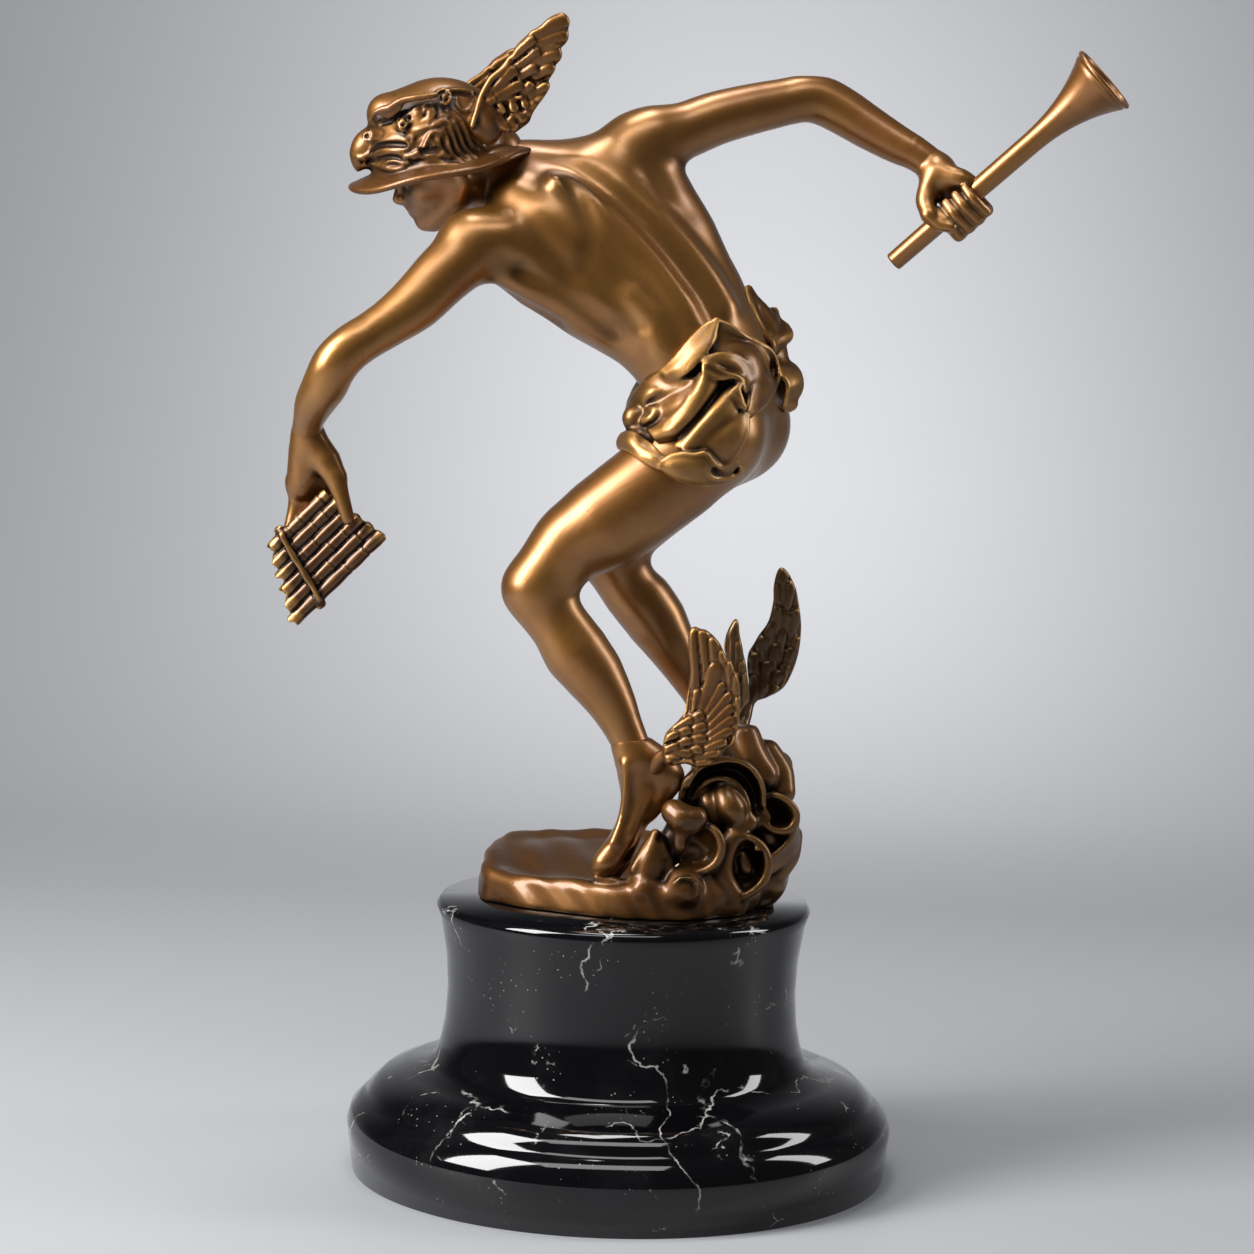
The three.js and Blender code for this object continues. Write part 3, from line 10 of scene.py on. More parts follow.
import bpy
import numpy as np
import openvdb
from mathutils import Matrix, Vector


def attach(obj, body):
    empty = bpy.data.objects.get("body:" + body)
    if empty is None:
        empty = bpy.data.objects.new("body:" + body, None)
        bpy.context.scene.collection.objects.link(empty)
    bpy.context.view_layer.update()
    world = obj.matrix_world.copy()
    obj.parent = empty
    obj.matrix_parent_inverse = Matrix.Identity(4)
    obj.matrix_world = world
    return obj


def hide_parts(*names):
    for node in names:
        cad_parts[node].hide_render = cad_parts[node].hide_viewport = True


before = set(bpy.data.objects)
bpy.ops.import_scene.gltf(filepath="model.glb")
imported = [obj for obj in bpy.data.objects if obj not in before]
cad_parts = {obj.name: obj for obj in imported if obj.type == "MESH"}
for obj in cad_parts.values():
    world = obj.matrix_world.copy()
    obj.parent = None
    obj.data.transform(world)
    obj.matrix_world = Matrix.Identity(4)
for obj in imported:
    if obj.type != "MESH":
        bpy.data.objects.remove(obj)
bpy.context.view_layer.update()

# Camera, in the photograph's own frame of 1254 pixels
IMAGE_SIZE = 1254
FOCAL_PIXELS = 3405
CAMERA_DISTANCE = 1480
CAMERA_HEIGHT = 393
CAMERA_SIDE = -1.5
CAMERA_PITCH = math.radians(5.9)
CAMERA_ROLL = math.radians(1.4)
SENSOR = 36
PIXEL = CAMERA_DISTANCE / FOCAL_PIXELS

# The figure stands on the plinth with a gap of 0.3 mm under it
LEVEL = 120.1
COARSE = 1.0
MM = 0.001

# A line of sight is followed between two depths, in steps of about 0.1 mm
SIGHT_DEPTHS = (-75, 65)
SIGHT_STEPS = 1401
# The way out of a skin is felt for at this distance to both sides of a point
FEELER = 0.4
# A form that runs past its clay turns back by this share of the way from its neighbour
TURN_BACK = 0.6
# A sheet's limbs are about this long and lie this far apart
SHEET_STEP, SHEET_GAP = 1.8, 0.8
# The distance to a skin where there is none yet
FAR_OFF = 1e3
# Distances beyond this don't matter to a skin and are cut off before it is softened
SOFTEN_REACH = 4


def vec(*values):
    return np.array(values, dtype=np.float32)


def unit(a):
    a = np.asarray(a, dtype=np.float32)
    return a / np.linalg.norm(a)


def mix(a, b, t):
    return np.asarray(a, np.float32) * (1 - t) + np.asarray(b, np.float32) * t


def lerp(a, b, t):
    return a + (b - a) * t


def smooth(a, b, x):
    t = np.clip((x - a) / (b - a), 0, 1)
    return t * t * (3 - 2 * t)


def seen(shapes):
    """Lines of points in the figure's own millimetres, from the photo's pixels. Each point is given across,
    down, its depth in millimetres and what follows that, such as a radius."""
    turn = math.cos(CAMERA_ROLL), math.sin(CAMERA_ROLL)
    pitch = math.cos(CAMERA_PITCH), math.sin(CAMERA_PITCH)
    lines = []
    for shape in shapes:
        line = []
        for x, y, depth, *rest in shape:
            across, down = (x - IMAGE_SIZE / 2) / FOCAL_PIXELS, (y - IMAGE_SIZE / 2) / FOCAL_PIXELS
            across, down = turn[0] * across + turn[1] * down, turn[0] * down - turn[1] * across
            far = (depth + CAMERA_DISTANCE) / (pitch[0] - down * pitch[1])
            height = CAMERA_HEIGHT - LEVEL - far * (down * pitch[0] + pitch[1])
            line.append([CAMERA_SIDE + far * across, depth, height, *rest])
        lines.append(line)
    return lines


class Frame:
    """Three square directions at a point: forward, left and up."""

    def __init__(self, origin, forward, up):
        self.origin = vec(*origin)
        self.f = unit(forward)
        self.l = unit(np.cross(up, self.f))
        self.u = np.cross(self.f, self.l)

    def place(self, forward, left, up):
        return self.origin + self.f * forward + self.l * left + self.u * up

    def local(self, x, y, z):
        x, y, z = x - self.origin[0], y - self.origin[1], z - self.origin[2]
        return tuple(x * d[0] + y * d[1] + z * d[2] for d in (self.f, self.l, self.u))


class Shape:
    """A distance to a skin, and the box that the skin lies in."""

    def __init__(self, distance, low, high):
        self.distance, self.low, self.high = distance, np.asarray(low, float), np.asarray(high, float)


def oval_distance(q, s, a, b):
    """How far points at q and s lie outside an oval of radii a and b."""
    k0 = np.sqrt((q / a) ** 2 + (s / b) ** 2)
    k1 = np.sqrt((q / (a * a)) ** 2 + (s / (b * b)) ** 2)
    return np.where(k1 > 1e-6, k0 * (k0 - 1) / np.maximum(k1, 1e-6), -np.minimum(a, b))


def limb(a, b, radius_a, radius_b, flat=1.0, side=(0, 1, 0)):
    """A tapered limb. flat under 1 thins it along side."""
    a, b, side = vec(*a), vec(*b), vec(*side)
    axis = b - a
    length2 = max(float(axis @ axis), 1e-9)
    across = unit(side - axis * (side @ axis) / length2) if flat < 1 else side
    reach = max(radius_a, radius_b)

    def distance(x, y, z):
        px, py, pz = x - a[0], y - a[1], z - a[2]
        t = np.clip((px * axis[0] + py * axis[1] + pz * axis[2]) / length2, 0, 1)
        px, py, pz = px - axis[0] * t, py - axis[1] * t, pz - axis[2] * t
        radius = radius_a + (radius_b - radius_a) * t
        squared = px * px + py * py + pz * pz
        if flat >= 1:
            return np.sqrt(squared) - radius
        s = px * across[0] + py * across[1] + pz * across[2]
        return oval_distance(np.sqrt(np.maximum(squared - s * s, 0)), s, radius, radius * flat)

    return Shape(distance, np.minimum(a, b) - reach, np.maximum(a, b) + reach)


def egg(at, radius_f, radius_l, radius_u):
    """An egg of three radii along a frame's forward, left and up."""
    def distance(x, y, z):
        q, s, w = at.local(x, y, z)
        k0 = np.sqrt((q / radius_f) ** 2 + (s / radius_l) ** 2 + (w / radius_u) ** 2)
        k1 = np.sqrt((q / radius_f**2) ** 2 + (s / radius_l**2) ** 2 + (w / radius_u**2) ** 2)
        return np.where(k1 > 1e-6, k0 * (k0 - 1) / np.maximum(k1, 1e-6), -min(radius_f, radius_l, radius_u))

    reach = max(radius_f, radius_l, radius_u)
    return Shape(distance, at.origin - reach, at.origin + reach)


def rounded_meet(a, b, radius):
    """The distance to what lies within both of two distances, with the edge between them rounded."""
    a, b = a + radius, b + radius
    return np.hypot(np.maximum(a, 0), np.maximum(b, 0)) + np.minimum(np.maximum(a, b), 0) - radius


def plate(at, reach, out, rise, thick):
    """A plate with a free outline. out and rise take the place forward and left of the frame."""
    def distance(x, y, z):
        q, s, w = at.local(x, y, z)
        return rounded_meet(out(q, s), np.abs(w - rise(q, s)) - thick, thick)

    return Shape(distance, at.origin - reach, at.origin + reach)


def outside(outline, x, y):
    """How far points lie outside a closed outline."""
    x, y = np.broadcast_arrays(x, y)
    nearest = np.full(x.shape, FAR_OFF, np.float32)
    within = np.zeros(x.shape, bool)
    for (ax, ay), (bx, by) in zip(outline, outline[1:] + outline[:1]):
        ex, ey = bx - ax, by - ay
        t = np.clip(((x - ax) * ex + (y - ay) * ey) / (ex * ex + ey * ey), 0, 1)
        nearest = np.minimum(nearest, np.hypot(x - ax - ex * t, y - ay - ey * t))
        if ey:
            within ^= ((ay > y) != (by > y)) & (x < ax + ex * (y - ay) / ey)
    return np.where(within, -nearest, nearest)


def curve_through(points, steps):
    """Points along a smooth curve through the given ones. Their fourth number, a radius, is blended alike."""
    rows = np.array(points, float)
    ends = np.vstack([2 * rows[0] - rows[1], rows, 2 * rows[-1] - rows[-2]])[:, :3]
    last = len(rows) - 1
    made = []
    for i in range(steps + 1):
        along = i / steps * last
        at = min(last - 1, int(along))
        t = along - at
        p0, p1, p2, p3 = ends[at:at + 4]
        v0, v1 = (p2 - p0) / 2, (p3 - p1) / 2
        p = (2 * p1 - 2 * p2 + v0 + v1) * t**3 + (3 * p2 - 3 * p1 - 2 * v0 - v1) * t**2 + v0 * t + p1
        made.append([*p, lerp(rows[at, 3], rows[at + 1, 3], t)])
    return made


def strand(points, steps=None, **shape):
    """Limbs end to end along a smooth curve, or a ball for a single point."""
    if len(points) == 1:
        x, y, z, radius = points[0]
        return [limb((x, y, z), (x, y, z), radius, radius)]
    along = curve_through(points, steps or 4 * (len(points) - 1))
    return [limb(p[:3], q[:3], p[3], q[3], **shape) for p, q in zip(along, along[1:])]


def sheet(rows, thick):
    """A curved panel through rows of points, laid as thin limbs side by side."""
    rows = [[[*p, thick] for p in row] for row in rows]
    longest = max(sum(math.dist(p[:3], q[:3]) for p, q in zip(row, row[1:])) for row in rows)
    columns = list(zip(*[curve_through(row, max(2, round(longest / SHEET_STEP))) for row in rows]))
    widest = max(sum(math.dist(p[:3], q[:3]) for p, q in zip(column, column[1:])) for column in columns)
    lanes = zip(*[curve_through(column, max(2, round(widest / SHEET_GAP))) for column in columns])
    return [limb(p[:3], q[:3], p[3], q[3]) for lane in lanes for p, q in zip(lane, lane[1:])]


class Clay:
    """A grid of distances to the skin, to which shapes are added and from which they are pressed out."""

    def __init__(self, low, high, cell):
        self.cell = cell * COARSE
        self.low = vec(*low)
        self.size = np.ceil((vec(*high) - self.low) / self.cell).astype(int) + 1
        self.values = np.full(tuple(self.size), FAR_OFF, np.float32)
        self.axes = [self.low[i] + np.arange(self.size[i], dtype=np.float32) * self.cell for i in range(3)]

    def span(self, low, high, margin):
        start = np.clip(np.floor((low - margin - self.low) / self.cell).astype(int), 0, self.size)
        stop = np.clip(np.ceil((high + margin - self.low) / self.cell).astype(int) + 1, 0, self.size)
        return start, stop

    def block(self, start, stop):
        x, y, z = (self.axes[i][start[i]:stop[i]] for i in range(3))
        return x[:, None, None], y[None, :, None], z[None, None, :]

    def work(self, shapes, margin, rule):
        parts = shapes if isinstance(shapes, list) else [shapes]
        low = np.min([p.low for p in parts], axis=0)
        high = np.max([p.high for p in parts], axis=0)
        start, stop = self.span(low, high, margin)
        if np.any(stop <= start):
            return
        distances = np.full(tuple(stop - start), FAR_OFF, np.float32)
        for part in parts:
            a, b = self.span(part.low, part.high, margin)
            if np.any(b <= a):
                continue
            cut = tuple(slice(a[i] - start[i], b[i] - start[i]) for i in range(3))
            distances[cut] = np.minimum(distances[cut], part.distance(*self.block(a, b)))
        cut = tuple(slice(start[i], stop[i]) for i in range(3))
        self.values[cut] = rule(self.values[cut], distances)

    def add(self, shapes, soft=1.5):
        """Lays a body on, running into what is there over the width soft."""
        def rule(value, d):
            h = np.maximum(soft - np.abs(value - d), 0) / soft
            return np.minimum(value, d) - h * h * soft * 0.25
        self.work(shapes, soft + 3 * self.cell, rule)

    def press(self, shapes, soft=1.5):
        """Presses a body out, with an edge rounded over the width soft."""
        def rule(value, d):
            h = np.maximum(soft - np.abs(value + d), 0) / soft
            return np.maximum(value, -d) + h * h * soft * 0.25
        self.work(shapes, soft + 3 * self.cell, rule)

    def trim(self, point, direction):
        """Cuts off what lies beyond a point along a direction."""
        x, y, z = self.block(np.zeros(3, int), self.size)
        n = unit(direction)
        beyond = (x - point[0]) * n[0] + (y - point[1]) * n[1] + (z - point[2]) * n[2]
        self.values = np.maximum(self.values, beyond.astype(np.float32))

    def soften(self, passes):
        """Averages each distance with those beside it, which takes ripples out of the skin."""
        field = np.clip(self.values, -SOFTEN_REACH, SOFTEN_REACH)
        for _ in range(passes):
            for axis in range(3):
                field = 0.5 * field + 0.25 * (np.roll(field, 1, axis) + np.roll(field, -1, axis))
        self.values = field

    def blurred(self, radius):
        """Distances averaged over a cube of that half width."""
        n = max(1, int(round(radius / self.cell)))
        field = np.clip(self.values, -radius, radius)
        for axis in range(3):
            padded = np.concatenate([np.repeat(field.take([0], axis), n + 1, axis), field,
                                     np.repeat(field.take([-1], axis), n, axis)], axis)
            total = np.cumsum(padded, axis, dtype=np.float32)
            count = field.shape[axis]
            behind, ahead = (total.take(range(first, first + count), axis) for first in (0, 2 * n + 1))
            field = (ahead - behind) / (2 * n + 1)
        return field

    def sample(self, field, points):
        """Values of a field at points, blended between the grid's."""
        at = (points - self.low) / self.cell
        base = np.clip(np.floor(at).astype(int), 0, self.size - 2)
        t = (at - base).astype(np.float32)
        total = 0
        for c in range(8):
            bits = [(c >> i) & 1 for i in range(3)]
            weight = np.prod([t[:, i] if bits[i] else 1 - t[:, i] for i in range(3)], axis=0)
            total = total + weight * field[base[:, 0] + bits[0], base[:, 1] + bits[1], base[:, 2] + bits[2]]
        return total

    def skin(self):
        """The skin's points, moved onto the very zero of the distances, and its faces of four corners."""
        for axis in range(3):
            ends = [slice(None)] * 3
            for end in (0, -1):
                ends[axis] = end
                self.values[tuple(ends)] = np.maximum(self.values[tuple(ends)], self.cell)
        limit = 2.5 * self.cell
        grid = openvdb.FloatGrid(limit)
        grid.copyFromArray(np.clip(self.values, -limit, limit))
        points, faces = grid.convertToQuads(0.0)
        points = self.low + points.astype(np.float32) * self.cell
        step = 0.5 * self.cell
        for _ in range(2):
            d = self.sample(self.values, points)
            moves = step * np.eye(3, dtype=np.float32)
            behind, ahead = ([self.sample(self.values, points + sign * e) for e in moves] for sign in (-1, 1))
            slope = np.stack([(b - a) / (2 * step) for a, b in zip(behind, ahead)], axis=1)
            shift = slope * np.clip(d, -step, step)[:, None]
            points = points - shift / np.maximum((slope**2).sum(1), 0.3)[:, None]
        return points, slope / np.maximum(np.linalg.norm(slope, axis=1), 1e-6)[:, None], faces[:, ::-1]


def first_met(clay, at, x, y):
    """Where a photo pixel's line of sight first meets the clay, in the clay's own frame, or None."""
    near, far = (vec(*at.local(*point)) for point in seen([[(x, y, depth) for depth in SIGHT_DEPTHS]])[0])
    line = near + np.linspace(0, 1, SIGHT_STEPS)[:, None] * (far - near)
    within = ((line >= clay.low) & (line <= clay.low + (clay.size - 1) * clay.cell)).all(axis=1)
    d = np.where(within, clay.sample(clay.values, line), FAR_OFF)
    met = np.flatnonzero(d < 0)
    if not len(met):
        return None
    i = met[0]
    return mix(line[i - 1], line[i], d[i - 1] / (d[i - 1] - d[i]))


def on_clay(clay, at, lift, pixels):
    """A line of points on the clay under photo pixels, each moved out from the skin by lift."""
    line = []
    for x, y, radius in pixels:
        point = first_met(clay, at, x, y)
        near = [point + sign * FEELER * e for e in np.eye(3, dtype=np.float32) for sign in (1, -1)]
        d = clay.sample(clay.values, np.array(near))
        line.append([*(point + lift * unit(d[::2] - d[1::2])), radius])
    return line


def over_clay(clay, pixels):
    """A line of points over the clay under photo pixels, each moved towards the camera by its lift. A fourth
    number is the point's own depth. Past the clay a point goes by its neighbour, and turns back from it."""
    def lifted(x, y, lift, depth):
        point, beyond = (vec(*p) for p in seen([[(x, y, depth), (x, y, depth + 100)]])[0])
        return list(point - lift * unit(beyond - point))

    met = [first_met(clay, LOCAL, x, y) for x, y, *_ in pixels]
    line = []
    for point, (x, y, lift, *own) in zip(met, pixels):
        depth = own[0] if own else None if point is None else point[1]
        line.append(None if depth is None else lifted(x, y, lift, depth))
    for i, (x, y, lift, *_) in enumerate(pixels):
        if line[i] is None:
            j = min((j for j, placed in enumerate(line) if placed), key=lambda j: abs(j - i))
            away = math.hypot(x - pixels[j][0], y - pixels[j][1]) * PIXEL
            depth = line[j][1] if met[j] is None else met[j][1]
            line[i] = lifted(x, y, lift, depth + TURN_BACK * away)
    return line


def make_piece(name, mesh, material, node):
    """Puts a mesh in the scene as a piece that stands for a CAD node."""
    mesh.materials.append(material)
    piece = bpy.data.objects.new(name, mesh)
    bpy.context.collection.objects.link(piece)
    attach(piece, "root")
    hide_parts(node)


def make_mesh(name, points, faces, relief):
    """A mesh in metres, with a number for each point under each of relief's names."""
    mesh = bpy.data.meshes.new(name)
    mesh.vertices.add(len(points))
    mesh.vertices.foreach_set("co", (np.asarray(points, np.float32) * MM).ravel())
    count = faces.shape[1]
    mesh.loops.add(faces.size)
    mesh.loops.foreach_set("vertex_index", faces.astype(np.int32).ravel())
    mesh.polygons.add(len(faces))
    mesh.polygons.foreach_set("loop_start", np.arange(0, faces.size, count, dtype=np.int32))
    mesh.polygons.foreach_set("loop_total", np.full(len(faces), count, np.int32))
    mesh.polygons.foreach_set("use_smooth", np.ones(len(faces), bool))
    mesh.update(calc_edges=True)
    mesh.validate()
    for key, values in relief.items():
        mesh.attributes.new(key, "FLOAT", "POINT").data.foreach_set("value", values.astype(np.float32))
    return mesh


def cast(name, clay, material, node="mercury_figure", at=None, passes=1, fine=0.8,
         reaches=(0.8, 1.8, 3.6)):
    """Takes a piece off its clay. edge tells how sharp the skin is at a point, and hollow how closed in."""
    clay.soften(passes)
    points, normals, faces = clay.skin()
    # How closed in a point is, felt along its normal; the bronze paints shade, along with its patina, into such
    # hollows
    room = [clay.sample(clay.values, points + normals * reach) / reach for reach in reaches]
    relief = {
        "edge": clay.sample(clay.blurred(fine), points) / fine,
        "hollow": np.mean([np.clip(1 - r, 0, 1) for r in room], axis=0),
    }
    if at:
        points = at.origin + points @ np.stack([at.f, at.l, at.u])
    points = points + vec(0, 0, LEVEL)
    make_piece(name, make_mesh(name, points, faces, relief), material, node)


# Limbs, muscles and hollows: x, y, z and radius
NEAR_THIGH = [
    [33, -17, 206, 22], [18.5, -20, 191, 22], [7.5, -22, 182, 21.3], [-1.6, -23, 174.6, 21.3],
    [-11.4, -24, 167.4, 20.6], [-19, -24.5, 162.5, 18.8], [-27.3, -25, 156.7, 16.9], [-40.5, -26, 139, 14.2],
]
NEAR_SHIN = [
    [-40.5, -26, 138, 14], [-36, -26.5, 130, 13.2], [-29.6, -27, 121.6, 13], [-23, -27.5, 111.6, 14.4],
    [-16, -28, 103, 13.4], [-8.2, -28.5, 91.4, 10.8], [-3, -29, 81.6, 8.9], [1.5, -29.5, 72.4, 8],
    [6, -30, 64, 7.9],
]
FAR_THIGH = [
    [46, 18, 209, 20.5], [32, 20, 197, 20], [16, 22, 182, 19.5], [2, 23, 168, 17.5], [-10.7, 24, 152, 14],
]
FAR_SHIN = [
    [-10.7, 24, 152, 14], [-1.5, 25, 136, 13.3], [5.2, 25.5, 128.6, 14.2], [11.2, 26, 120.7, 13.8],
    [16.5, 26, 112.5, 12], [23.5, 27, 101, 9.6], [31, 27.5, 89.5, 8.2], [38, 28, 78, 7.9],
]
NEAR_ARM = [
    [-71, -21, 284, 14.5], [-76, -25, 278, 13.6], [-84, -30, 270, 12.8], [-94, -36, 259, 11.8],
    [-104, -41, 251, 10.2],
    [-112, -44, 245.5, 9.6], [-120, -47, 240, 9.8], [-126.5, -48, 233, 10], [-131, -44, 224, 9.8],
    [-136, -36, 216, 8.6], [-139, -29, 209, 6.8], [-140.5, -23, 203, 6.6],
]
FAR_ARM = [
    [-2, 14, 329, 15], [6, 15, 332.5, 14], [18, 18, 336, 12.4], [31, 21, 341.5, 11.8], [46, 25, 346, 11.2],
    [62, 29, 350, 10.4], [71, 31, 352, 10.6], [79, 32, 351, 10.8], [89, 31, 346, 10.4], [98, 29, 340.5, 9.8],
    [111, 25, 333, 8.6], [120, 22, 328.5, 7.5], [129, 20, 322, 7.2],
]
# The trunk's rings from the hips to the shoulders: half width, half depth and the way the belly and breast face
TRUNK = [
    { "at": [36, 0, 211], "width": 30, "depth": 22, "facing": [-0.88, 0.4, -0.28] },
    { "at": [33, 1, 226], "width": 33, "depth": 23, "facing": [-0.84, 0.48, -0.28] },
    { "at": [25.5, 2, 244], "width": 29.5, "depth": 21.5, "facing": [-0.66, 0.68, -0.31] },
    { "at": [15, 4, 258], "width": 33, "depth": 22.5, "facing": [-0.55, 0.77, -0.33] },
    { "at": [-7, 7, 280], "width": 40, "depth": 26, "facing": [-0.36, 0.86, -0.36] },
    { "at": [-22, 8, 293], "width": 38, "depth": 24, "facing": [-0.33, 0.88, -0.34] },
    { "at": [-36, 9, 303], "width": 25, "depth": 17, "facing": [-0.33, 0.88, -0.34] },
]
SPINE = [-72, 9, 92]
BACK_MUSCLES = [
    [[-34, -17, 311, 6], [-22, -18, 302, 6.5], [-8, -18, 289, 6.5], [6, -19, 275, 6.5], [17, -21, 260, 6.5],
     [23, -22, 248, 6]],
    [[-24, -2, 317, 5.5], [-8, -6, 308, 6], [7, -8, 295, 6], [18, -9, 284, 6], [28, -10, 272, 6],
     [36, -11, 260, 5.5]],
    [[-53, -10, 304, 8], [-42, -17, 296, 9.5], [-33, -19, 287, 8], [-27, -19, 280, 6]],
    [[-58, -24, 287, 8], [-50, -22, 281, 8], [-40, -20, 274, 7]],
    [[-12, 12, 326, 7], [2, 9, 318, 8], [10, 6, 306, 7]],
    [[-58, -23, 272, 5], [-44, -21, 267, 6.5], [-30, -18, 260, 6.5], [-16, -15, 251, 5]],
    [[-3, -22, 262, 5], [6, -23, 253, 6], [11, -23, 243, 6]],
]
BACK_HOLLOWS = [
    [[-46, -9, 324, 3], [-36, -11, 321, 3.5], [-27, -14, 318, 3.8], [-13, -19, 309, 4.1], [0, -20, 299, 4.3],
     [12, -21, 287, 4.3], [21, -22, 276, 4.3], [29, -23, 266, 4.2], [34, -25, 256, 4], [38, -27, 248, 3.6]],
    [[-37, -16, 321, 2.4], [-28, -23, 311, 3.4], [-22, -28, 299, 3.6], [-20, -31, 288, 3.4],
     [-23, -31, 277, 3]],
    [[-50, -30, 274, 2.4], [-36, -32, 266, 3], [-22, -29, 257, 3.4], [-10, -24, 248, 3.4]],
    [[-17, -32, 270, 3.4], [-8, -31, 261, 4], [-1, -30, 251, 3.6]],
    [[-62, -20, 262, 5], [-50, -19, 256, 6], [-38, -16, 250, 6]],
]
# The rock's slab is an outline of x and y, and its far clouds are balls of x, y, z and radius
SLAB = [
    [-63, -12], [-54, -20], [-45, -29], [-27, -38], [-10, -47], [7, -50.5], [24, -52], [41, -43], [55, -15],
    [63, 12], [50, 42], [10, 52], [-35, 50], [-58, 38], [-64, 10],
]
FAR_CLOUDS = [
    [46, 2, 12, 24], [46, 4, 30, 22], [49, 8, 50, 15], [51, 10, 62, 9], [34, 28, 16, 20], [32, 32, 26, 12],
    [28, 10, 10, 20], [52.9, 5, 68.5, 6.5], [64, 4, 52, 7], [69, 2, 36, 7], [71, 0, 26, 6], [64, -2, 14, 8],
    [44, 40, 12, 12], [60, 28, 14, 13], [58, 24, 38, 11], [50, 34, 52, 8], [20, 44, 12, 10], [36, 46, 30, 8],
]
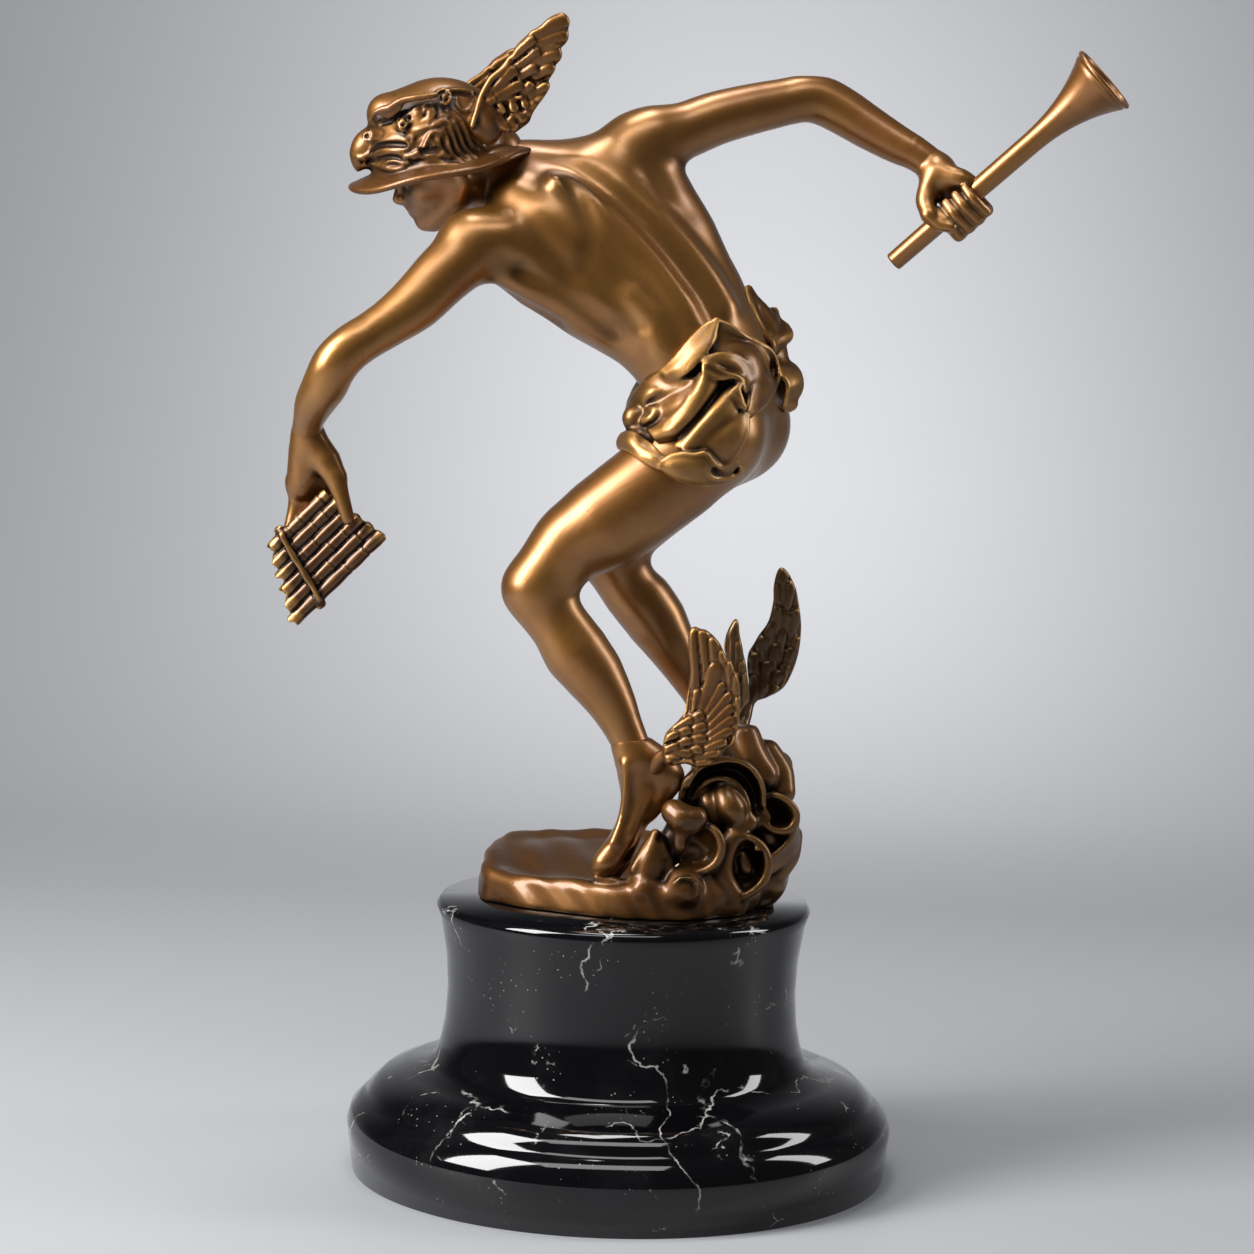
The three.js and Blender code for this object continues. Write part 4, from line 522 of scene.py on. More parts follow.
# The eagle's lines, each with its lift off the helmet: across and down in pixels, and radius
EAGLE_RIDGES = [
    (0.4, [(371, 119, 1.2), (375, 113, 1.6), (383, 109.5, 2), (391, 108, 2.4), (398, 103.5, 2.2),
        (406, 100, 1.9), (415, 98.3, 1.9), (424, 97, 1.8), (432, 96, 1.6), (438, 95, 1.3)]),
    (0.2, [(383, 114, 1.6), (389, 114.5, 2), (395, 112, 1.8), (401, 107.5, 1.2)]),
    (0.9, [(438, 93, 0.8), (443, 90.8, 0.9), (448, 92.8, 0.9), (449.8, 98, 0.9), (447.5, 103, 0.8),
        (443, 103.5, 0.8), (439, 100.5, 0.7)]),
    (-0.6, [(444, 97, 2.3)]),
    (0.3, [(413, 109, 0.7), (419, 105.8, 0.8), (426, 106.8, 0.9), (430, 111.5, 0.9), (429.5, 118, 0.8),
        (425, 122, 0.6)]),
    (0.2, [(424, 103.5, 0.6), (430, 105, 0.7), (434.5, 110.5, 0.8), (434, 117, 0.7), (429.5, 122, 0.5)]),
    (0.5, [(425, 110, 0.6), (426.5, 114, 0.7), (423.5, 119, 0.5)]),
    (-1.3, [(418, 114, 3)]),
    (0.3, [(404, 113, 0.6), (409, 112.3, 0.6), (412.5, 116, 0.6), (411.5, 121, 0.6), (407, 124, 0.6),
        (403, 120, 0.6), (403.5, 114, 0.5)]),
    (0.3, [(399, 117, 0.7), (398, 122, 0.8), (400.5, 127, 0.8), (405, 127.5, 0.7), (407.5, 124, 0.5)]),
    (-0.6, [(402, 121, 1.7)]),
    (0.3, [(395, 125, 0.7), (401, 130, 0.9), (410, 131, 0.9), (420, 130, 0.8), (428, 127, 0.6)]),
    (0.3, [(370, 140.5, 0.5), (377, 138.8, 0.7), (385, 139.3, 0.7), (393, 137.3, 0.8), (400, 137.5, 0.8),
        (408, 140.5, 0.6)]),
    (0.2, [(385, 136.3, 0.5), (392, 135.3, 0.6), (400, 136, 0.6), (406, 139, 0.5)]),
    (0.35, [(358, 158, 0.7), (363, 156.8, 0.8), (369, 153.6, 0.8), (373, 149, 0.8), (377, 145, 0.8),
        (383, 142.2, 0.8), (391, 141.2, 0.8), (399, 141, 0.8), (405.5, 141, 0.8), (409, 144, 0.8),
        (408, 148.5, 0.7)]),
    (0.3, [(405, 149.7, 0.8), (397, 149.2, 0.8), (388, 149, 0.8), (382, 150.3, 0.8), (376, 153.5, 0.8),
        (371, 156.5, 0.8), (364, 158.8, 0.6)]),
    (0.3, [(369.5, 132.8, 0.5), (366.5, 132.6, 0.55), (364.6, 135.5, 0.55), (365.5, 138.5, 0.55),
        (368.3, 139.5, 0.45)]),
    (0, [(368.8, 135.8, 0.8)]),
    (0.2, [(378, 157, 0.6), (385, 153.5, 0.9), (393, 152, 1), (401, 153.5, 0.9), (408, 155.5, 0.6)]),
    (0.3, [(384, 166, 0.8), (389, 161.5, 1), (396, 160.5, 1), (403, 163, 0.9), (409, 162.5, 0.9),
        (415, 158.5, 0.8), (421, 155.5, 0.6)]),
    (0.1, [(372, 163.5, 0.8), (380, 166, 1.1), (388, 168.5, 1.3), (396, 169, 1.3), (404, 167.5, 1)]),
    (0.4, [(403, 158.5, 0.7), (411, 155.5, 1), (419, 151.5, 1.2), (424.5, 146.5, 1.2), (427.5, 140, 1.2),
        (431, 134, 1), (437, 131.5, 0.9), (441.5, 134.5, 0.8), (440.5, 141, 0.6)]),
    (0.2, [(431, 140, 0.8), (435, 144, 0.9), (434, 149, 0.6)]),
    (0.2, [(423, 157.5, 0.7), (430, 155, 1), (437, 157, 0.9), (444, 155.5, 0.9), (450, 159, 0.6)]),
    (0.2, [(410, 135, 0.5), (414, 138, 0.7), (413, 143, 0.7), (410, 146, 0.4)]),
    (0.2, [(434, 122.5, 0.5), (440, 119.5, 0.8), (447, 117, 0.5)]),
    (0.3, [(431, 127.5, 0.6), (439, 124, 0.9), (447, 121.5, 0.9), (453, 126, 0.8), (457, 133, 0.5)]),
    (0.2, [(444, 128, 0.6), (448, 137, 0.9), (450, 147, 1), (455, 156, 0.9), (462, 161, 0.6)]),
    (0.1, [(450, 127, 0.5), (454, 136, 0.8), (458, 147, 0.9), (464, 155, 0.8), (471, 159, 0.5)]),
    (0.1, [(455, 122, 0.5), (460, 133, 0.8), (464, 145, 0.9), (470, 153, 0.8), (477, 157, 0.5)]),
    (0.2, [(437, 136, 0.5), (440, 145, 0.8), (445, 152, 0.8), (450, 158, 0.5)]),
    (0.1, [(460, 120, 0.5), (466, 131, 0.8), (471, 142, 0.8), (477, 150, 0.5)]),
    (0.1, [(453, 112, 0.5), (459, 118, 0.7), (465, 127, 0.7), (469, 134, 0.4)]),
    (0.1, [(446, 106, 0.5), (450, 112, 0.7), (456, 119, 0.4)]),
    (0.2, [(472, 136, 0.4), (479, 141, 0.7), (483, 146, 0.4)]),
    (0.1, [(428, 160.5, 0.5), (438, 161, 0.7), (448, 164, 0.7), (458, 164, 0.4)]),
    (0.2, [(456.5, 98, 0.5), (457.5, 105, 0.7), (462, 110.5, 0.7), (468.5, 110.5, 0.7), (473, 105, 0.5)]),
    (0.2, [(450, 91, 1.3), (458, 90.5, 1.3), (467, 91.5, 1.3), (475, 93.5, 1)]),
]
EAGLE_GROOVES = [
    (0.3, [(439.3, 94, 0.7), (440.3, 97.5, 0.7), (441, 100.5, 0.5)]),
    (0.2, [(397, 119, 0.7), (401, 114, 1.1), (407, 108.5, 1.2), (414, 104, 1.1), (421, 102, 0.7)]),
    (0.2, [(423, 100.5, 0.6), (430, 101, 0.8), (436, 105, 0.9), (438.5, 112, 0.9), (437, 119, 0.5)]),
    (0.4, [(410.5, 118, 0.8)]),
    (0.4, [(421, 122, 0.3), (425, 117, 0.5), (427, 112, 0.4)]),
    (0.2, [(392, 121, 1), (386, 122, 1.2), (380, 125, 0.6)]),
    (0.3, [(372, 152, 0.6), (377, 147.3, 0.9), (383, 144.8, 1), (391, 144.2, 1.1), (399, 144.3, 1.1),
        (405.5, 145, 1)]),
    (0.3, [(367, 136.5, 0.9)]),
    (0.1, [(367, 128, 0.5), (373, 127.3, 0.5), (379, 129.3, 0.5), (384, 132.5, 0.3)]),
    (0.2, [(372, 160.5, 0.5), (380, 158.5, 0.8), (388, 157, 0.9), (396, 157.5, 0.8), (402, 159.5, 0.5)]),
    (0.2, [(360, 161.5, 0.5), (366, 161.5, 0.7), (372, 160.5, 0.6)]),
    (0.4, [(420, 149.5, 0.7), (426, 151, 1.1), (433, 150, 1.2), (441, 149.5, 0.7)]),
    (0.2, [(410, 160, 0.5), (416, 162.5, 0.8), (422, 161, 0.5)]),
    (0.1, [(414, 141, 0.4), (419, 137, 0.6), (424, 134, 0.4)]),
    (0.3, [(452, 95, 0.8), (460, 94, 1), (469, 96, 1), (475, 98, 0.8)]),
    (0.4, [(471, 101, 0.6), (473, 96, 0.8), (476.5, 92.5, 0.5)]),
    (0.1, [(446, 130, 0.3), (451, 140, 0.45), (454, 150, 0.5), (459, 157, 0.3)]),
    (0.1, [(453, 126, 0.3), (457, 136, 0.45), (461, 147, 0.5), (467, 154, 0.3)]),
    (0.1, [(441, 137, 0.3), (444, 146, 0.45), (449, 154, 0.3)]),
    (0.1, [(458, 124, 0.3), (463, 134, 0.45), (468, 145, 0.5), (474, 152, 0.3)]),
]
# The rock's near side: across and down in pixels, depth, and for all but the sheets a radius
ROCK_BODIES = seen([
    [(683, 822, -34, 7)], [(690, 890, -38, 8)], [(652, 892, -40, 6)], [(697, 850, -28, 9)],
    [(722, 868, -26, 9)],
    [(745, 868, -18, 9)], [(730, 805, -16, 8)], [(742, 748, -2, 9)], [(768, 788, 0, 9)], [(783, 850, -4, 7)],
    [(755, 830, -14, 9)], [(656, 866, -36, 7)], [(704, 895, -34, 8)], [(765, 882, -8, 9)],
    [(700, 803, -16, 10)],
    [(720, 782, -8, 10)], [(757, 772, 2, 10)], [(740, 892, -22, 9)], [(777, 766, 8, 7)], [(664, 906, -40, 7)],
    [(700, 905, -38, 8)], [(728, 905, -32, 8)], [(672, 845, -34, 7)], [(775, 830, -8, 8)],
])
ROCK_FORMS = seen([
    [(674, 812, -42, 5.6), (682, 818, -44, 6.4)],
    [(696, 818, -43, 4.9), (692, 824, -43, 4.6)],
    [(684, 826, -44, 4), (680, 838, -44.5, 2.6), (680, 846, -44.5, 2.5)],
    [(722, 784, -26, 3), (726, 796, -29, 5.6), (731, 808, -31, 6.6), (736, 819, -30, 5)],
    [(707, 791, -25, 4.4), (711, 804, -27, 5.2), (716, 817, -29, 4)],
    [(748, 822, -28, 4.6), (734, 836, -32, 4.4), (723, 856, -35, 5), (721, 877, -36, 5.6),
     (732, 896, -34, 5.4)],
    [(760, 822, -23, 4.6), (767, 837, -20, 5), (781, 843, -15, 4.8)],
    [(682, 889, -44, 9.4)],
    [(644, 889, -45, 6.4), (648, 894, -43, 6)],
    [(657, 891, -45, 4.6)],
    [(744, 738, -4, 7.6), (751, 757, -7, 7.6), (763, 775, -8, 7)],
    [(768, 752, -1, 5.6), (779, 772, -3, 6.4), (782, 792, -6, 6)],
    [(790, 836, -9, 5.6), (787, 855, -10, 5.6), (776, 872, -12, 5.4)],
    [(741, 848, -30, 1.8), (743, 858, -32, 2.8), (746, 868, -32, 3.2)],
    [(700, 880, -38, 6), (712, 893, -37, 6.6)],
])
ROCK_SHEETS = [seen(rows) for rows in [
    [
        [(681, 797, -31), (685, 781, -32), (698, 768, -32), (714, 761, -31), (731, 759, -30), (747, 764, -29),
         (758, 776, -28), (763, 790, -27), (763, 805, -27), (769, 818, -26)],
        [(686, 801, -25), (692, 788, -24), (703, 777, -23), (716, 771, -22), (730, 769, -21), (742, 775, -20),
         (750, 786, -20), (755, 798, -20), (756, 810, -20), (758, 820, -22)],
        [(694, 799, -28), (700, 788, -29), (709, 781, -30), (720, 778, -30), (731, 781, -30), (740, 788, -29),
         (745, 797, -29), (748, 807, -29), (747, 817, -29), (741, 827, -29)],
    ],
    [
        [(700, 825, -40), (712, 828, -42), (720, 838, -43), (722, 851, -43), (716, 864, -43), (705, 872, -43),
         (692, 874, -43), (681, 868, -42)],
        [(699, 832, -37), (706, 837, -38), (712, 844, -38), (713, 853, -38), (709, 861, -38), (701, 866, -38),
         (691, 866, -38), (684, 861, -38)],
        [(694, 841, -35), (698, 842, -35), (702, 847, -35), (702, 853, -35), (700, 857, -35), (696, 859, -35),
         (691, 858, -35), (688, 854, -35)],
    ],
    [
        [(762, 798, -22), (773, 795, -24), (785, 799, -25), (794, 808, -25), (797, 818, -24), (792, 829, -24),
         (781, 832, -25), (769, 829, -26), (761, 820, -26), (758, 808, -25)],
        [(768, 804, -17), (774, 802, -17), (782, 804, -18), (788, 810, -18), (790, 817, -18), (787, 824, -19),
         (780, 826, -19), (772, 824, -19), (766, 817, -19), (765, 810, -18)],
        [(774, 810, -14), (776, 809, -14), (779, 810, -14), (782, 812, -14), (783, 815, -14), (782, 818, -15),
         (779, 819, -15), (775, 818, -15), (773, 815, -15), (773, 812, -14)],
    ],
    [
        [(737, 838, -35), (750, 837, -34), (762, 845, -33), (769, 859, -33), (767, 876, -33), (757, 889, -34),
         (742, 898, -36)],
        [(740, 846, -29), (749, 847, -28), (757, 854, -27), (760, 863, -27), (758, 873, -28), (750, 882, -30),
         (740, 888, -32)],
        [(741, 856, -26), (746, 856, -25), (750, 860, -25), (751, 865, -25), (749, 871, -26), (744, 876, -28),
         (738, 880, -30)],
    ],
    [
        [(654, 832, -39), (640, 853, -42), (629, 880, -43)],
        [(656, 832, -42), (650, 853, -46), (646, 878, -47)],
        [(659, 834, -40), (667, 852, -43), (672, 874, -43)],
    ],
    [
        [(796, 822, -22), (789, 841, -23), (776, 853, -24), (766, 859, -27)],
        [(797, 836, -14), (794, 850, -15), (784, 862, -17), (770, 872, -22)],
    ],
]]
ROCK_RIMS = seen([
    [(687, 787, -33, 1.2), (698, 769, -34, 1.3), (714, 762, -33, 1.4), (731, 760, -32, 1.4),
     (747, 765, -31, 1.4), (758, 777, -30, 1.4), (763, 791, -29, 1.3), (764, 806, -29, 1.1)],
    [(700, 788, -30, 1), (710, 780, -31, 1.1), (721, 778, -31, 1.2), (732, 781, -31, 1.3),
     (741, 789, -30, 1.4), (746, 799, -30, 1.4), (748, 809, -30, 1.4), (745, 820, -30, 1.3)],
    [(703, 825, -41, 1.6), (713, 829, -43, 1.9), (720, 839, -44, 2), (721, 852, -44, 2), (715, 864, -44, 2),
     (704, 871, -44, 1.8), (691, 873, -44, 1.6)],
    [(765, 797, -23, 1.2), (774, 795, -25, 1.4), (785, 799, -26, 1.5), (794, 808, -26, 1.6),
     (796, 818, -25, 1.7),
     (791, 828, -25, 1.8), (781, 831, -26, 1.7), (770, 828, -27, 1.5), (761, 819, -27, 1.4)],
    [(750, 838, -35, 1.4), (762, 846, -34, 1.7), (768, 860, -34, 1.9), (766, 876, -34, 2), (756, 889, -35, 2),
     (743, 897, -37, 1.8)],
    [(757, 849, -35.5, 1.5)],
    [(655, 834, -42, 1.2), (643, 852, -44, 1.6), (634, 870, -45, 1.9)],
    [(657, 835, -42, 1), (665, 852, -44, 1.4), (670, 868, -44, 1.5)],
    [(690, 848, -37, 0.9), (696, 847, -37, 0.9), (699, 852, -37, 0.9), (696, 858, -37, 0.9),
     (690, 857, -37, 0.9)],
    [(796, 824, -23, 1.2), (788, 842, -24, 1.3), (776, 854, -25, 1.3), (766, 859, -28, 1.2)],
    [(598, 877, -40, 2.2), (612, 882, -41, 2.8), (628, 885.5, -41, 2.6)],
    [(674, 884, -52, 0.9), (679, 878.5, -53, 0.9), (688, 877, -53, 0.9), (696, 882, -52.5, 0.9),
     (698, 892, -52, 0.9), (692, 900, -52, 0.9), (682, 901, -52, 0.9)],
])
ROCK_HOLLOWS = seen([
    [(681, 803, -48, 1.8), (690, 806, -48, 1.6)],
    [(685, 827, -50, 0.9), (690, 822, -50, 0.9)],
    [(730, 790, -37, 1), (737, 792, -36, 1.2), (743, 797, -35, 1)],
    [(776, 742, -12, 1.6), (772, 758, -15, 1.8), (768, 772, -16, 1.6)],
    [(667, 858, -46, 1.4), (668, 868, -47, 1.6), (664, 879, -48, 1.6)],
    [(670, 827, -44, 1.6), (661, 838, -44, 1.6)],
])
# Wings, in pixels: the outline, and feathers from root to tip with half their width. A ridge has across, down,
# its lift in millimetres and a radius in pixels. An ankle wing's roots are places and radii in its frame.
HELMET_WING = {
    "outline": [(508, 58), (512, 53), (515, 47), (519, 42), (526, 36), (531, 30), (540, 26), (547, 18),
        (558, 12.5), (564, 12), (569, 17), (570, 22), (568, 28), (569, 38), (565, 44), (560, 48), (563, 53),
        (560, 61), (555, 65), (556, 68), (551, 77), (548, 81), (551, 85), (546, 95), (538, 105), (532, 114),
        (530, 122), (522, 128), (513, 134), (505, 132), (499, 129), (492, 134), (476, 126), (476, 112),
        (480, 100), (484, 88), (490, 77), (500, 68)],
    "feathers": [(534, 34, 562, 20.5, 7), (540, 43, 562, 35.5, 5.6), (545, 48, 556, 44.5, 3.2),
        (536, 61, 556, 54.5, 5.6), (540, 73, 549, 68.5, 5.2), (534, 101, 540, 97, 4),
        (536, 92, 545, 86.5, 4.6), (529, 112, 533, 106, 4), (523, 118, 527, 113, 4),
        (516, 111, 523, 118, 4), (524, 61, 536, 51.5, 4.2), (525, 73.5, 533, 69, 5),
        (526, 90, 529.5, 85.5, 4.6), (512, 121, 513, 126.5, 4.6), (524, 100, 525, 104, 4.2),
        (508, 98.5, 521, 96.3, 2.1), (513, 103, 514, 107.5, 4.6), (499, 103, 503, 110, 3.2),
        (495, 111, 501, 118, 3.2), (501, 84, 513, 71.5, 4.8), (504, 93, 518, 85.5, 5.5),
        (491, 97, 491.5, 98.5, 4.8), (502, 121, 506, 127.5, 4.6), (520, 50, 530, 41, 5)],
    "ridges": [
        [(511, 60, 1.2, 2.8), (507, 67, 1.4, 3.4), (500, 73, 1.5, 3.4), (492, 79, 1.6, 3.2),
         (487, 87, 1.8, 3.4), (482, 96, 2.2, 3.4), (479, 106, 3, 3), (475, 117, 4, 2.4),
         (472, 126, 4.5, 2)],
        [(481, 101, 2.2, 2.2), (487, 105, 2.4, 2.4), (491, 112, 2.4, 2.3), (497, 118, 1.8, 1.8)],
        [(482, 108, 0, 9), (488, 120, 0, 11), (492, 131, -1, 10)],
        [(474, 120, 0, 7), (480, 128, 0, 9), (488, 136, -1, 9)],
    ],
}
NEAR_ANKLE_WING = {
    "outline": [
        (663.5, 751.5), (663, 740.5), (666.5, 731), (675, 724), (680.5, 718), (685.5, 711.5), (686.5, 699),
        (689.5, 682), (691, 671), (688.5, 651.5), (688, 635), (690.5, 627), (696, 625.5), (700, 628.5),
        (705, 628.5), (711.5, 633), (717, 639), (722, 646), (725.5, 656), (730.5, 658.5), (734, 668),
        (739, 679.5), (741, 699), (739.5, 715.5), (737.5, 732), (733, 744), (725, 749.5), (719.5, 755),
        (712, 764), (705.5, 767), (697, 768), (691.5, 765.5), (686, 763), (678, 764.5), (669.5, 767),
        (665.5, 764),
    ],
    "feathers": [
        (696, 690.5, 692.5, 631.5, 5), (707, 679.5, 703, 633, 4.5), (716.5, 682, 713.5, 640.5, 4.5),
        (725, 688, 722, 653, 3.5), (730.5, 704.5, 730, 664, 3.5), (736, 715.5, 736, 676.5, 3.5),
        (734.5, 738, 738, 699, 3), (694.5, 715.5, 698, 693.5, 5), (701.5, 715.5, 715.5, 669, 7),
        (704, 719.5, 722, 686.5, 4.5), (703.5, 726.5, 728.5, 696, 4.5), (703.5, 733.5, 730, 708, 4.5),
        (703.5, 740, 730, 719.5, 4.5), (703.5, 745.5, 728, 730.5, 4.5), (701.5, 751.5, 722, 742, 4.5),
        (697, 758, 715.5, 753, 4), (693, 764, 707, 762, 3.5), (689, 724, 699.5, 715.5, 5),
        (690.5, 732, 702, 726.5, 5), (690.5, 740.5, 701.5, 738, 5), (689, 750.5, 698.5, 749, 4.5),
        (680.5, 724.5, 689.5, 719.5, 4), (678, 733.5, 687.5, 730, 4.5), (678, 743.5, 687.5, 740.5, 4.5),
        (676.5, 753, 687.5, 753, 4.5), (666.5, 738, 675.5, 733.5, 4), (665.5, 749, 674.5, 745.5, 4),
        (666, 758.5, 675, 758.5, 4), (680.5, 762, 690.5, 761.5, 3.5),
    ],
}
INNER_ANKLE_WING = {
    "outline": [
        (723.5, 643.5), (726.5, 632), (730.5, 624), (734.5, 618), (738, 618.5), (739, 626.5), (739.5, 635),
        (742, 643.5), (743.5, 654.5), (746, 664), (747.5, 676.5), (749.5, 693.5), (749, 702), (744.5, 705),
        (738.5, 715.5), (733.5, 715.5), (730.5, 699), (728.5, 671), (726.5, 657), (724, 650.5),
    ],
    "feathers": [
        (733, 671, 734.5, 623, 5.5), (738.5, 679.5, 739, 643.5, 4), (741, 690.5, 742.5, 663, 3.5),
        (744.5, 704.5, 745.5, 675.5, 3.5), (737.5, 704.5, 736.5, 676.5, 3.5), (733.5, 710, 732, 685, 3.5),
    ],
}
FAR_ANKLE_WING = {
    "outline": [
        (782, 566), (787.5, 571), (791.5, 578), (796, 588), (798.5, 601.5), (800.5, 615.5), (801.5, 629.5),
        (799.5, 649), (796, 663), (791.5, 674), (786, 685), (778, 692), (770, 695.5), (763.5, 699),
        (756, 698.5), (752, 700.5), (749, 710), (745, 724), (740.5, 724), (742, 710), (746.5, 696),
        (749, 686.5), (748, 676.5), (747, 668.5), (747, 660), (748.5, 651.5), (754, 643.5), (759.5, 633.5),
        (765.5, 626.5), (769.5, 618.5), (772, 607), (773.5, 599), (773, 588), (775, 576.5), (778, 568.5),
    ],
    "feathers": [
        (778, 610, 782, 571.5, 6), (778, 615.5, 776.5, 586.5, 3.5), (785.5, 613, 791.5, 584.5, 4.5),
        (789.5, 638, 796, 614, 5.5), (782, 640.5, 785.5, 615.5, 5), (773, 643.5, 776.5, 610, 5.5),
        (766.5, 654.5, 770, 628, 5.5), (778, 657, 782, 635, 5), (790.5, 660, 796, 640.5, 4.5),
        (759.5, 665.5, 761, 640.5, 5), (771, 671, 774.5, 649, 5.5), (755.5, 682, 754.5, 657, 5),
        (783.5, 671, 790, 651.5, 5), (764, 682, 766.5, 665.5, 5.5), (780.5, 682, 784.5, 667, 5),
        (772, 685, 778, 674, 5), (753.5, 693.5, 753.5, 678, 4), (761, 696, 764.5, 686.5, 4.5),
        (770, 693.5, 774.5, 688, 4),
    ],
}
ANKLE_ROOTS = {
    "ankle_wing_near": [[[4, 0, 0, 3], [1, 6, -3, 3.4], [-5, 10, -7, 4]]],
    "ankle_wing_inner": [[[6, -3, 0, 3], [1, 6, 3, 4], [-3, 11, 6, 4.5]]],
    "ankle_wing_far": [[[8, -4, 0, 3.5], [0, 2, 2, 3], [-8, 4, 6, 3], [-16, 8, 10, 5]]],
}
# The cloth in the rough: eggs at both hips, and bands round the front and the far side, in millimetres
CLOTH_FORMS = [
    { "at": [28, -18, 225], "along": [0.85, 0, 0.5], "radii": [31, 19, 23] },
    { "at": [42, 15, 236], "along": [0.5, 0, 0.85], "radii": [26, 19, 22] },
]
CLOTH_BANDS = [
    [[0, -22, 212, 6], [4, -8, 215, 9], [8, 6, 221, 10], [16, 18, 230, 11], [30, 28, 238, 9]],
    [[47, 12, 262, 6], [54, 16, 252, 8], [58, 16, 240, 8]],
    [[62, 12, 232, 7], [66, 15, 226, 6]],
]
